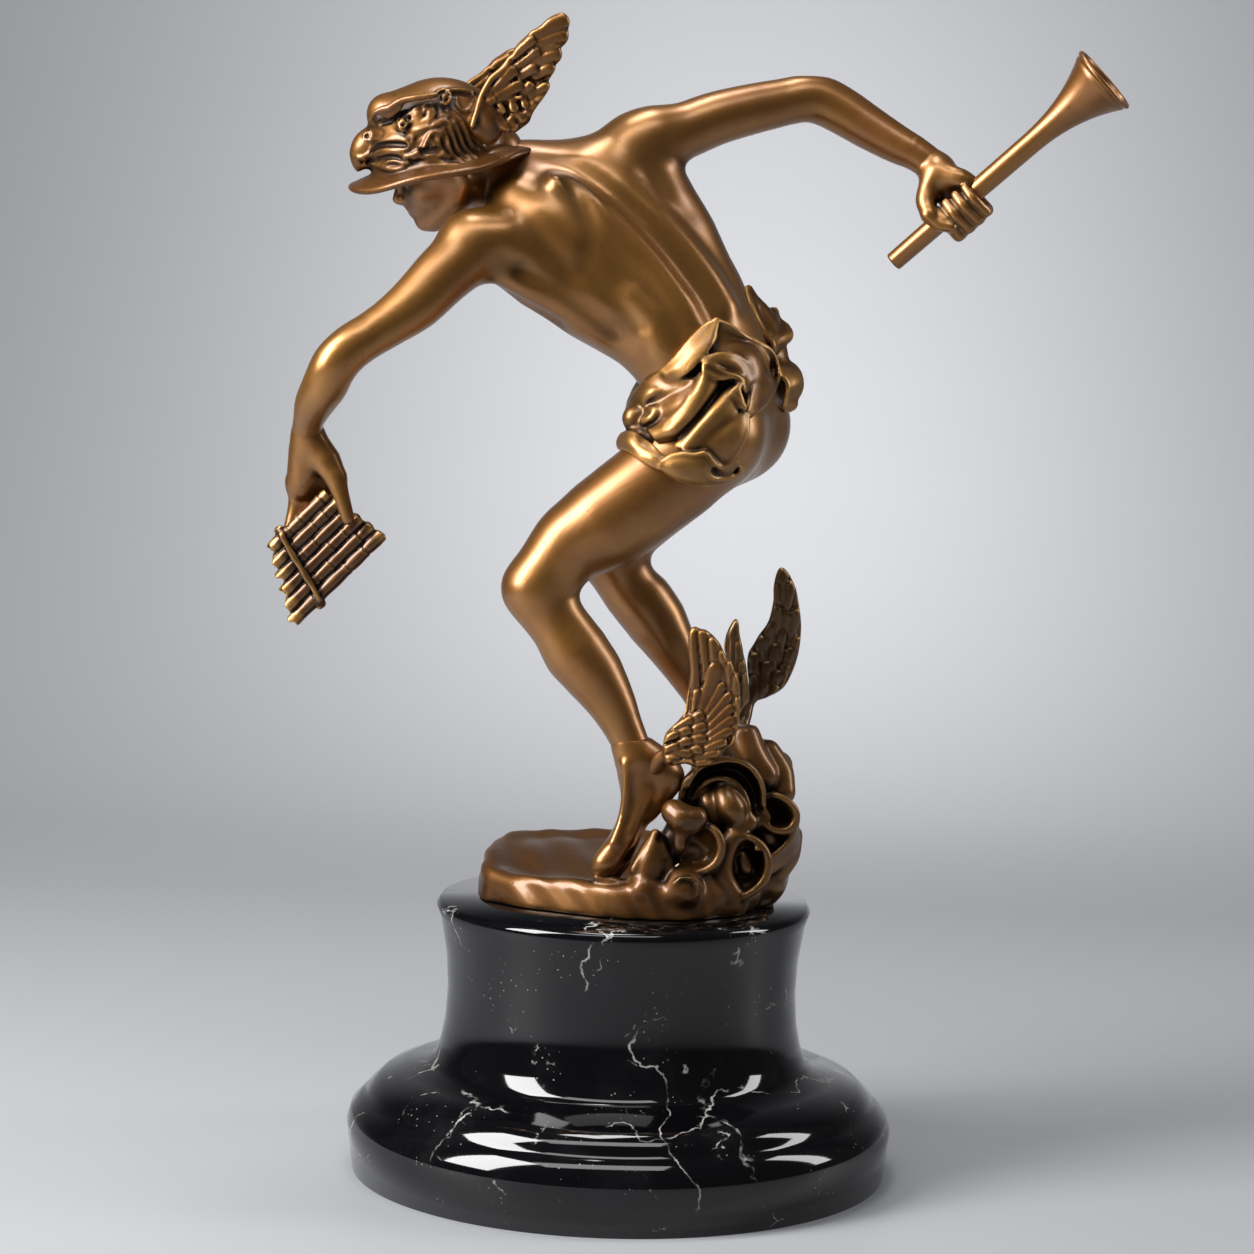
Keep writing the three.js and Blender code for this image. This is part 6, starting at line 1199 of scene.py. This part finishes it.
def sculpt_rock():
    clay = Clay([-70, -60, -3], [84, 60, 78], 0.88)
    outline = rounded(SLAB)

    def distance(x, y, z):
        edge = outside(outline, x, y)
        lean = 0.12 * (z - 8) + 0.7 * np.sin(0.35 * x + 0.28 * y) * np.sin(0.3 * z + 0.2 * x)
        return rounded_meet(edge + lean, z - slab_height(x, y, edge), SLAB_ROUND)
    clay.add(Shape(distance, [-70, -60, -3], [70, 60, 30]), 2)
    for cloud in FAR_CLOUDS:
        clay.add(strand([cloud]), 4)
    for body in ROCK_BODIES:
        clay.add(strand(body), 5)
    for form in ROCK_FORMS:
        clay.add(strand(form, steps=4 * len(form)), 1.8)
    for rows in ROCK_SHEETS:
        clay.add(sheet(rows, CLOUD_THICK), 1.5)
    for rim in ROCK_RIMS:
        clay.add(strand(rim, steps=4 * len(rim)), 1)
    for hollow in ROCK_HOLLOWS:
        clay.press(strand(hollow, steps=4 * len(hollow)), 1.2)
    clay.trim([0, 0, 0], [0, 0, -1])
    return clay


def sculpt_hips():
    """The plain hips and thighs that the cloth lies on."""
    clay = Clay([-40, -70, 160], [95, 60, 290], 1.2)
    lay_trunk(clay)
    lay_seat(clay)
    for thigh in (NEAR_THIGH, FAR_THIGH):
        clay.add(strand(thigh), 6)
    return clay


CLOTH_THICK, CLOTH_HEM = 1.1, 1.0


def sculpt_cloth():
    hips = sculpt_hips()
    clay = Clay([-22, -58, 178], [84, 44, 276], 0.76)
    for form in CLOTH_FORMS:
        along = form["along"]
        clay.add(egg(Frame(form["at"], along, [-along[2], 0, along[0]]), *(r - 2 for r in form["radii"])), 3)
    for band in CLOTH_BANDS:
        clay.add(strand(band), 4)
    front, rise = unit(TRUNK[0]["facing"]), unit(SPINE)
    for turn in (-0.9, -0.1, 0.7):
        out = math.cos(turn) * front + math.sin(turn) * rise
        clay.press(strand([[*(vec(x, y, z) + radius * out), 1.5] for x, y, z, radius in CLOTH_BANDS[0]]), 2)
    for body in CLOTH_BODIES:
        clay.add(strand(body), 3)
    for rows in CLOTH_PANELS.values():
        clay.add(sheet([over_clay(hips, row) for row in rows], CLOTH_THICK), 1.2)
    for rim in CLOTH_RIMS:
        clay.add(strand([[*p, CLOTH_HEM] for p in over_clay(hips, rim)]), 0.7)
    return clay


WING_CORE, WING_ROUND, WING_BEND = 1.9, 0.9, 1.5


def feather_height(q, s, feathers, groove):
    """How far overlapping feathers stand out of a wing, each a pillow with a ribbed middle and barbs."""
    height = np.full(np.broadcast(q, s).shape, -1.3, np.float32)
    for i, (root_q, root_s, tip_q, tip_s, radius) in enumerate(feathers):
        dq, ds = tip_q - root_q, tip_s - root_s
        length = math.hypot(dq, ds)
        along = ((q - root_q) * dq + (s - root_s) * ds) / length
        across = ((s - root_s) * dq - (q - root_q) * ds) / length
        half = radius * (1.0 + 0.16 * np.clip(along / length, 0, 1) + 0.04 * np.sin(along * 0.9 + 2 * i))
        inside = half - np.hypot(along - np.clip(along, -0.5 * length, length), across)
        share = np.clip(inside / half, 0, 1)
        pillow = 1.15 * np.sqrt(np.clip(1 - (1 - share) ** 2.2, 0, 1))
        lift = -0.9 + 0.7 * smooth(-0.4, 1.0, along / length) + 0.8 * i / len(feathers)
        rib = -0.18 * np.exp(-((across / 0.3) ** 2)) * smooth(0.15, 0.5, share)
        barbs = 0.06 * np.sin((along * 0.9 - np.abs(across) * 1.4) * 3.1 + i) * smooth(0.1, 0.4, share)
        height = np.maximum(height - groove * smooth(-0.7, -0.1, inside), -1.3)
        height = np.where(inside > 0, lift + pillow + rib + barbs, height)
    return height


def sculpt_wing(outline, feathers, ridges, size=1.0, groove=0.8):
    outline = [[q * size, s * size] for q, s in rounded(outline)]
    feathers = [[v * size for v in row] for row in feathers]
    low, high = np.min(outline, axis=0) - 3, np.max(outline, axis=0) + 3
    clay = Clay([low[0] - 6, low[1] - 2, -12], [high[0], high[1] + 8, 14], 0.5)
    block = clay.block(np.zeros(3, int), clay.size)
    q, s, _ = block
    edge = outside(outline, q[..., 0], s[..., 0])[..., None]
    lift = feather_height(q[..., 0], s[..., 0], feathers, groove)[..., None]
    middle = 0.5 * np.sin(q * 0.16 + 0.6) + WING_BEND * (q / 45) ** 2

    def distance(x, y, z):
        face = np.abs(z - middle) - WING_CORE - lift * smooth(-0.5, 1.5, -edge)
        return rounded_meet(edge, face, WING_ROUND)
    clay.values = np.minimum(clay.values, distance(*block).astype(np.float32))
    for ridge in ridges:
        clay.add(strand([[v * size for v in row] for row in ridge]), 2)
    return clay


def on_frame(at, shapes):
    """Lines of pixels laid on a frame's own plane, or a third number off it, as places in the frame. What
    follows the third number is a radius in pixels."""
    lines = []
    for shape in shapes:
        line = []
        for x, y, *rest in shape:
            lift, *radius = rest or [0]
            depths = (at.origin[1], at.origin[1] + 50)
            near, far = (vec(*at.local(*point)) for point in seen([[(x, y, depth) for depth in depths]])[0])
            point = mix(near, far, (lift - near[2]) / (far[2] - near[2]))
            line.append([*point, *(r * PIXEL for r in radius)])
        lines.append(line)
    return lines


def seen_wing(form, at):
    """The outline and the feathers of a wing on its frame."""
    outline = [point[:2] for point in on_frame(at, [form["outline"]])[0]]
    ends = on_frame(at, [[(a, b), (c, d)] for a, b, c, d, _ in form["feathers"]])
    widths = [row[4] * PIXEL for row in form["feathers"]]
    return outline, [[*root[:2], *tip[:2], width] for (root, tip), width in zip(ends, widths)]


NEAR_HELMET_SIDE = Frame([-66, -17, 334], [33, -6, 49], [0.12, -0.99, -0.05])
FAR_HELMET_SIDE = Frame([-80, 22, 338], [33, 8, 36], [0.2, -0.95, -0.2])
NEAR_ANKLE = Frame([22, -41, 68], [0, 0, 1], [0, -1, 0])
INNER_ANKLE = Frame([22, -21, 68], [0, 0, 1], [0, -1, 0])
FAR_ANKLE = Frame([56, 40, 84], [0, 0, 1], [0, -1, 0])


def lathe(name, profile, sides, at, material, node):
    """A solid turned round a frame's forward, from rows of radius and place along it."""
    turn = np.arange(sides) * 2 * math.pi / sides
    ring = np.stack([np.cos(turn), np.sin(turn)], axis=1)
    rows = [p for p in profile if p[0] > 0]
    points = [at.place(profile[0][1], 0, 0)]
    for radius, along in rows:
        points += [at.place(along, radius * c, radius * s) for c, s in ring]
    points.append(at.place(profile[-1][1], 0, 0))
    faces = []
    for j in range(sides):
        k = (j + 1) % sides
        faces.append([0, 1 + k, 1 + j, 1 + j])
        for i in range(len(rows) - 1):
            a, b = 1 + i * sides, 1 + (i + 1) * sides
            faces.append([a + j, a + k, b + k, b + j])
        last = 1 + (len(rows) - 1) * sides
        faces.append([last + j, last + k, len(points) - 1, len(points) - 1])
    mesh = bpy.data.meshes.new(name)
    mesh.from_pydata((np.array(points) * MM).tolist(), [], [list(dict.fromkeys(f)) for f in faces])
    mesh.update()
    for polygon in mesh.polygons:
        polygon.use_smooth = True
    make_piece(name, mesh, material, node)


class Nodes:
    """Short names for the nodes of a material."""

    def __init__(self, name):
        self.material = bpy.data.materials.new(name)
        self.material.use_nodes = True
        self.tree = self.material.node_tree
        self.shader = self.tree.nodes["Principled BSDF"]
        self.place = self.add("ShaderNodeTexCoord").outputs["Object"]

    def add(self, kind, **settings):
        node = self.tree.nodes.new(kind)
        for key, value in settings.items():
            setattr(node, key, value)
        return node

    def plug(self, socket, value):
        if isinstance(value, bpy.types.NodeSocket):
            self.tree.links.new(value, socket)
        elif isinstance(value, tuple) and len(value) == 3 and socket.type == "RGBA":
            socket.default_value = (*value, 1)
        else:
            socket.default_value = value

    def set(self, name, value):
        self.plug(self.shader.inputs[name], value)

    def noise(self, scale, detail=3.0, roughness=0.5, distortion=0.0):
        node = self.add("ShaderNodeTexNoise")
        self.plug(node.inputs["Vector"], self.place)
        settings = {"Scale": scale, "Detail": detail, "Roughness": roughness, "Distortion": distortion}
        for key, value in settings.items():
            node.inputs[key].default_value = value
        return node.outputs["Fac"]

    def cells(self, scale, at=None, feature="F1"):
        node = self.add("ShaderNodeTexVoronoi", feature=feature)
        self.plug(node.inputs["Vector"], at or self.place)
        node.inputs["Scale"].default_value = scale
        return node.outputs["Distance"]

    def remap(self, value, a, b, c=0.0, d=1.0, kind="SMOOTHSTEP"):
        node = self.add("ShaderNodeMapRange", interpolation_type=kind)
        self.plug(node.inputs[0], value)
        for i, v in enumerate((a, b, c, d)):
            self.plug(node.inputs[i + 1], v)
        return node.outputs[0]

    def math(self, operation, a, b=0.0):
        node = self.add("ShaderNodeMath", operation=operation)
        self.plug(node.inputs[0], a)
        self.plug(node.inputs[1], b)
        return node.outputs[0]

    def blend(self, share, a, b):
        node = self.add("ShaderNodeMix", data_type="RGBA")
        self.plug(node.inputs[0], share)
        self.plug(node.inputs[6], a)
        self.plug(node.inputs[7], b)
        return node.outputs[2]

    def attribute(self, name):
        return self.add("ShaderNodeAttribute", attribute_name=name).outputs["Fac"]

    def bump(self, height, distance, strength):
        node = self.add("ShaderNodeBump")
        self.plug(node.inputs["Height"], height)
        node.inputs["Distance"].default_value = distance
        node.inputs["Strength"].default_value = strength
        return node.outputs["Normal"]


GRAIN, METAL = 0.3, 0.82


def bronze(name, base, gold, dark, rough=0.36, coat=0.2, gloss=0.4, worn=1.0):
    """Patinated bronze under wax: dark in hollows, as patina and as painted shade; rubbed to gold on edges,
    mottled, faintly pitted.
    """
    m = Nodes(name)
    edge, hollow = m.attribute("edge"), m.attribute("hollow")
    mottle = m.noise(26, 5, 0.6, 0.4)
    cloud = m.noise(9, 3, 0.5)
    fine = m.noise(420, 4, 0.6)
    color = m.blend(m.remap(mottle, 0.35, 0.7), base, tuple(v * s for v, s in zip(base, (0.74, 0.64, 0.6))))
    color = m.blend(m.remap(cloud, 0.45, 0.75), color, tuple(v * s for v, s in zip(base, (1.2, 1.25, 1.3))))
    # Hollows darken: partly the patina that gathers in recesses, partly painted shade where light is closed out
    patina_and_painted_shade = m.math("MULTIPLY", m.remap(hollow, 0.04, 0.5), m.remap(mottle, 0.1, 0.6, 0.8, 1.0))
    color = m.blend(m.math("MULTIPLY", patina_and_painted_shade, 0.94), color, dark)
    rub = m.math("MULTIPLY", m.remap(edge, 0.05, 0.42), m.remap(mottle, 0.3, 0.6, 0.45, 1.0))
    color = m.blend(m.math("MULTIPLY", rub, worn), color, gold)
    pits = m.cells(190)
    pit = m.remap(pits, 0.05, 0.13)
    pocked = m.math("MULTIPLY", m.math("SUBTRACT", 1.0, pit), m.remap(m.noise(31, 2), 0.5, 0.62))
    color = m.blend(m.math("MULTIPLY", pocked, 0.7), color, dark)
    m.set("Base Color", color)
    m.set("Metallic", m.math("MAXIMUM", METAL, m.math("MULTIPLY", rub, worn)))
    m.set("Coat Weight", m.math("MULTIPLY", m.remap(hollow, 0.1, 0.5, 1.0, 0.25), gloss))
    m.set("Coat IOR", 1.65)
    m.set("Coat Roughness", coat)
    streak = m.math("ADD", m.math("MULTIPLY", fine, 0.4), mottle)
    m.set("Roughness", m.remap(streak, 0.45, 0.95, rough - 0.05, rough + 0.1, "LINEAR"))
    relief = m.math("SUBTRACT", m.math("MULTIPLY", fine, GRAIN), m.math("MULTIPLY", pocked, 0.5))
    m.set("Normal", m.bump(relief, 0.0002, 0.6))
    return m.material


def black_marble():
    """Polished black marble with fine broken white veins and specks."""
    m = Nodes("black_marble")
    white = 0.0
    for scale, push, width, near in ((11, 0.05, 0.012, 0.54), (23, 0.03, 0.016, 0.56), (7, 0.09, 0.006, 0.5)):
        warp = m.add("ShaderNodeTexNoise")
        m.plug(warp.inputs["Vector"], m.place)
        warp.inputs["Scale"].default_value = 3 * scale
        warp.inputs["Detail"].default_value = 6
        bend = m.add("ShaderNodeVectorMath", operation="MULTIPLY_ADD")
        m.plug(bend.inputs[0], warp.outputs["Color"])
        bend.inputs[1].default_value = (push, push, push)
        m.plug(bend.inputs[2], m.place)
        vein = m.remap(m.cells(scale, bend.outputs[0], "DISTANCE_TO_EDGE"), width, width / 6)
        shown = m.remap(m.noise(1.7 * scale, 4, 0.6), near, near + 0.07)
        broken = m.remap(m.noise(9 * scale, 3, 0.7), 0.38, 0.6)
        white = m.math("MAXIMUM", m.math("MULTIPLY", m.math("MULTIPLY", vein, shown), broken), white)
    speck = m.math("MULTIPLY", m.remap(m.cells(330), 0.14, 0.06), m.remap(m.noise(38, 3), 0.5, 0.6))
    white = m.math("MAXIMUM", white, m.math("MULTIPLY", speck, 0.7))
    cloud = m.blend(m.remap(m.noise(40, 6, 0.6), 0.45, 0.8), (0.0015, 0.0015, 0.002), (0.007, 0.007, 0.008))
    m.set("Base Color", m.blend(white, cloud, (0.42, 0.4, 0.37)))
    m.set("Roughness", m.blend(white, (0.06, 0.06, 0.06), (0.2, 0.2, 0.2)))
    return m.material


SKIN = bronze("skin_bronze", (0.285, 0.118, 0.015), (0.62, 0.33, 0.07), (0.02, 0.009, 0.004), coat=0.3,
              gloss=0.7, worn=0.6)
RELIEF = bronze("relief_bronze", (0.17, 0.072, 0.014), (0.64, 0.34, 0.09), (0.01, 0.005, 0.003), rough=0.44)
# A darker copy of the relief bronze: painted shade for the inner and far ankle wings, which lie in shade
PAINTED_SHADE = bronze("painted_shade_bronze", (0.1, 0.05, 0.015), (0.5, 0.27, 0.07), (0.008, 0.005, 0.003), rough=0.42)
DARK = bronze("dark_bronze", (0.11, 0.048, 0.015), (0.55, 0.29, 0.08), (0.007, 0.004, 0.003), worn=0.8)

cast("body", sculpt_body(), SKIN, passes=3)
cast("near_foot", sculpt_foot(NEAR_FOOT, [-26, -56, 6], [32, -16, 76]), SKIN, passes=2)
cast("far_foot", sculpt_foot(FAR_FOOT, [6, 10, 20], [64, 54, 92]), SKIN, passes=2)
cast("horn_hand", sculpt_horn_hand(), SKIN, passes=2)
cast("pipe_hand", sculpt_pipe_hand(), SKIN, passes=2)
cast("head", sculpt_head(), SKIN, at=Frame(HEAD.place(-4.5, 0, -3), HEAD.f, HEAD.u), passes=2)
cast("helmet", sculpt_helmet(), RELIEF, at=HEAD)
# The rock and the cloth feel for hollows farther out, so their painted shade in recesses spreads wider
cast("rock", sculpt_rock(), RELIEF, fine=1.3, reaches=(1.4, 3.5, 7))
cast("cloth", sculpt_cloth(), RELIEF, fine=1.2, reaches=(1.2, 3, 6))
helmet_wing = *seen_wing(HELMET_WING, NEAR_HELMET_SIDE), on_frame(NEAR_HELMET_SIDE, HELMET_WING["ridges"])
cast("helmet_wing_near", sculpt_wing(*helmet_wing, groove=0.35), RELIEF, at=NEAR_HELMET_SIDE)
cast("helmet_wing_far", sculpt_wing(*helmet_wing, size=0.84, groove=0.35), RELIEF, at=FAR_HELMET_SIDE)
for name, form, at, material in (
    ("ankle_wing_near", NEAR_ANKLE_WING, NEAR_ANKLE, RELIEF),
    ("ankle_wing_inner", INNER_ANKLE_WING, INNER_ANKLE, PAINTED_SHADE),
    ("ankle_wing_far", FAR_ANKLE_WING, FAR_ANKLE, PAINTED_SHADE),
):
    cast(name, sculpt_wing(*seen_wing(form, at), ANKLE_ROOTS[name]), material, at=at)

# The trumpet, along the fist's forward
TRUMPET_START, TRUMPET_LENGTH, BELL_LENGTH, BORE_DEPTH = -37, 121, 46, 48
TRUMPET_END = TRUMPET_START + TRUMPET_LENGTH
NECK, BELL, WALL, LIP = 4.8, 16, 1.4, 1.2


def flare(share):
    return lerp(NECK, BELL, share**2.4)


shares = [i / 24 for i in range(25)]
outer = [[flare(t), lerp(TRUMPET_END - BELL_LENGTH, TRUMPET_END - 1.6, t)] for t in shares[:-1]]
inner = [[flare(t) - WALL, lerp(TRUMPET_END - BELL_LENGTH, TRUMPET_END - 0.9, t)] for t in shares[-2:2:-1]]
tail = [[0, TRUMPET_START], [3.4, TRUMPET_START], [4, TRUMPET_START + 0.3], [4.2, TRUMPET_START + 1]]
turns = [math.radians(-90 + 22.5 * i) for i in range(11)]
lip = [[BELL - LIP + LIP * math.cos(turn), TRUMPET_END - LIP + LIP * math.sin(turn)] for turn in turns]
bore = [[0, TRUMPET_END - BORE_DEPTH]]
world_fist = Frame(FIST.origin + vec(0, 0, LEVEL), FIST.f, FIST.u)
lathe("trumpet_horn", tail + outer + lip + inner + bore, 96, world_fist, SKIN, "trumpet")

# The panpipes: each pipe is a step longer than the one before it, a small part of which is at its upper end
PIPE_COUNT, PIPE_RADIUS, PIPE_PITCH, PIPE_SHORTEST, PIPE_STEP, PIPE_END_STEP = 6, 3.1, 5.7, 35, 3.96, 0.9
PIPE_TOP_LOW = -14.6
CORD_LOW, CORD_HIGH = -14.3, -6.3


def reed(index):
    """One pipe of cane: ringed and grooved at its nodes, cut off unevenly and open at both ends."""
    left = ((PIPE_COUNT - 1) / 2 - index) * PIPE_PITCH
    low = PIPE_TOP_LOW - index * (PIPE_STEP - PIPE_END_STEP)
    high = PIPE_TOP_LOW + PIPE_SHORTEST + index * PIPE_END_STEP
    nodes = [lerp(low, high, share + 0.05 * math.sin(3 * index + 9 * share)) for share in (0.3, 0.56, 0.82)]

    def distance(x, y, z):
        side, out = y - left, np.hypot(y - left, z)
        turn = np.arctan2(z, side)
        radius = PIPE_RADIUS - 0.15 + 0.12 * np.sin(0.5 * x + 2 * index) + 0.07 * np.sin(5 * turn + index)
        for node in nodes:
            ring, groove = np.exp(-(((x - node) / 0.7) ** 2)), np.exp(-(((x - node - 1) / 0.4) ** 2))
            radius = radius + 0.2 * ring - 0.45 * groove
        start = low + 0.9 * np.sin(1.5 * turn + 2 * index) + 0.4 * np.sin(4 * turn)
        body = np.maximum(out - radius, np.maximum(start - x, x - high - 0.3 * np.sin(2 * turn + index)))
        bore = np.where((x < low + 5) | (x > high - 3), out - 1.9, 1.0)
        return np.maximum(body, -bore)
    return Shape(distance, [low - 2, left - 4, -4], [high + 1, left + 4, 4])


def sculpt_panpipes():
    clay = Clay([-36, -21, -7], [28, 21, 7], 0.5)
    for index in range(PIPE_COUNT):
        clay.add(reed(index), 0.2)
    half = (PIPE_COUNT - 1) / 2 * PIPE_PITCH + PIPE_RADIUS
    for side in BOTH_SIDES:
        strap = [[CORD_LOW - 1, -half - 0.5, 0, 1], [CORD_LOW, -half + 2, 3.4 * side, 1.3]]
        strap += [[lerp(CORD_LOW, CORD_HIGH, t), lerp(-half, half, t), (3.7 + 0.3 * math.sin(14 * t)) * side,
                   1.45 + 0.2 * math.sin(22 * t)] for t in (0.2, 0.35, 0.5, 0.65, 0.8)]
        strap += [[CORD_HIGH, half - 2, 3.4 * side, 1.4], [CORD_HIGH + 1, half + 0.5, 0, 1.2]]
        clay.add(strand(strap, steps=40, flat=0.6, side=(0, 0, 1)), 0.5)
    clay.add(strand([[CORD_HIGH, half + 0.4, 0, 2], [CORD_HIGH + 1.6, half + 0.6, 1.2, 1.3]]), 0.5)
    clay.add(strand([[CORD_LOW - 1, -half - 0.2, 0, 2], [CORD_LOW - 2.6, -half - 0.6, 1.4, 1.2]]), 0.5)
    return clay


cast("reeds", sculpt_panpipes(), DARK, "panpipes",
     at=Frame(RAFT.origin + vec(0.6, 0, 0), RAFT.f, RAFT.u))

plinth = [[0, 0], *PLINTH_PROFILE, [0, PLINTH_PROFILE[-1][1]]]
upright = Frame([0, 0, 0], [0, 0, 1], [0, -1, 0])
lathe("marble_base", plinth, 256, upright, black_marble(), "marble_plinth")


def area_light(name, at, target, width, height, power):
    lamp = bpy.data.lights.new(name, "AREA")
    lamp.shape = "RECTANGLE"
    lamp.size, lamp.size_y, lamp.energy = width, height, power
    thing = bpy.data.objects.new(name, lamp)
    bpy.context.collection.objects.link(thing)
    thing.location = at
    thing.rotation_euler = (Vector(target) - Vector(at)).to_track_quat("-Z", "Y").to_euler()


def stage_material():
    m = Nodes("backdrop")
    m.set("Base Color", (0.33, 0.335, 0.35))
    m.set("Roughness", 0.55)
    return m.material


def backdrop():
    """A floor that curves up into a wall behind."""
    profile = [[-2.5, 0], [0.9, 0]]
    profile += [[0.9 + 0.9 * math.sin(a), 0.9 - 0.9 * math.cos(a)] for a in np.linspace(0.1, math.pi / 2, 12)]
    profile.append([1.8, 3.5])
    points = [(x, y, z) for y, z in profile for x in (-3.5, 3.5)]
    faces = [(2 * i, 2 * i + 1, 2 * i + 3, 2 * i + 2) for i in range(len(profile) - 1)]
    mesh = bpy.data.meshes.new("backdrop")
    mesh.from_pydata(points, [], faces)
    for polygon in mesh.polygons:
        polygon.use_smooth = True
    mesh.materials.append(stage_material())
    thing = bpy.data.objects.new("backdrop", mesh)
    bpy.context.collection.objects.link(thing)


backdrop()
area_light("left_box", (-0.95, -0.45, 0.9), (0, 0, 0.3), 0.5, 1.0, 33)
area_light("right_box", (1.15, 0.05, 0.75), (0, 0, 0.3), 0.22, 0.9, 6)
area_light("top_box", (-0.1, 0.15, 1.7), (0, 0.05, 0.2), 0.5, 0.35, 8)
area_light("floor_fill", (-0.15, -0.7, 1.6), (-0.15, -0.5, 0), 1.2, 0.4, 8)
area_light("wall_glow", (0.1, 1.05, 0.66), (0.16, 1.8, 0.2), 0.25, 0.2, 6)
world = bpy.data.worlds.new("studio")
world.use_nodes = True
world.node_tree.nodes["Background"].inputs["Color"].default_value = (0.8, 0.82, 0.86, 1)
world.node_tree.nodes["Background"].inputs["Strength"].default_value = 0.08
bpy.context.scene.world = world
bpy.context.scene.view_settings.view_transform = "Standard"

lens = bpy.data.cameras.new("camera")
lens.sensor_width = SENSOR
lens.lens = FOCAL_PIXELS * SENSOR / IMAGE_SIZE
camera = bpy.data.objects.new("camera", lens)
bpy.context.collection.objects.link(camera)
look = Vector((0, math.cos(CAMERA_PITCH), -math.sin(CAMERA_PITCH)))
level_right, level_up = Vector((1, 0, 0)), Vector((0, math.sin(CAMERA_PITCH), math.cos(CAMERA_PITCH)))
right = level_right * math.cos(CAMERA_ROLL) + level_up * math.sin(CAMERA_ROLL)
up = level_up * math.cos(CAMERA_ROLL) - level_right * math.sin(CAMERA_ROLL)
camera.matrix_world = Matrix((
    (right.x, up.x, -look.x, CAMERA_SIDE * MM), (right.y, up.y, -look.y, -CAMERA_DISTANCE * MM),
    (right.z, up.z, -look.z, CAMERA_HEIGHT * MM), (0, 0, 0, 1),
))
bpy.context.scene.camera = camera
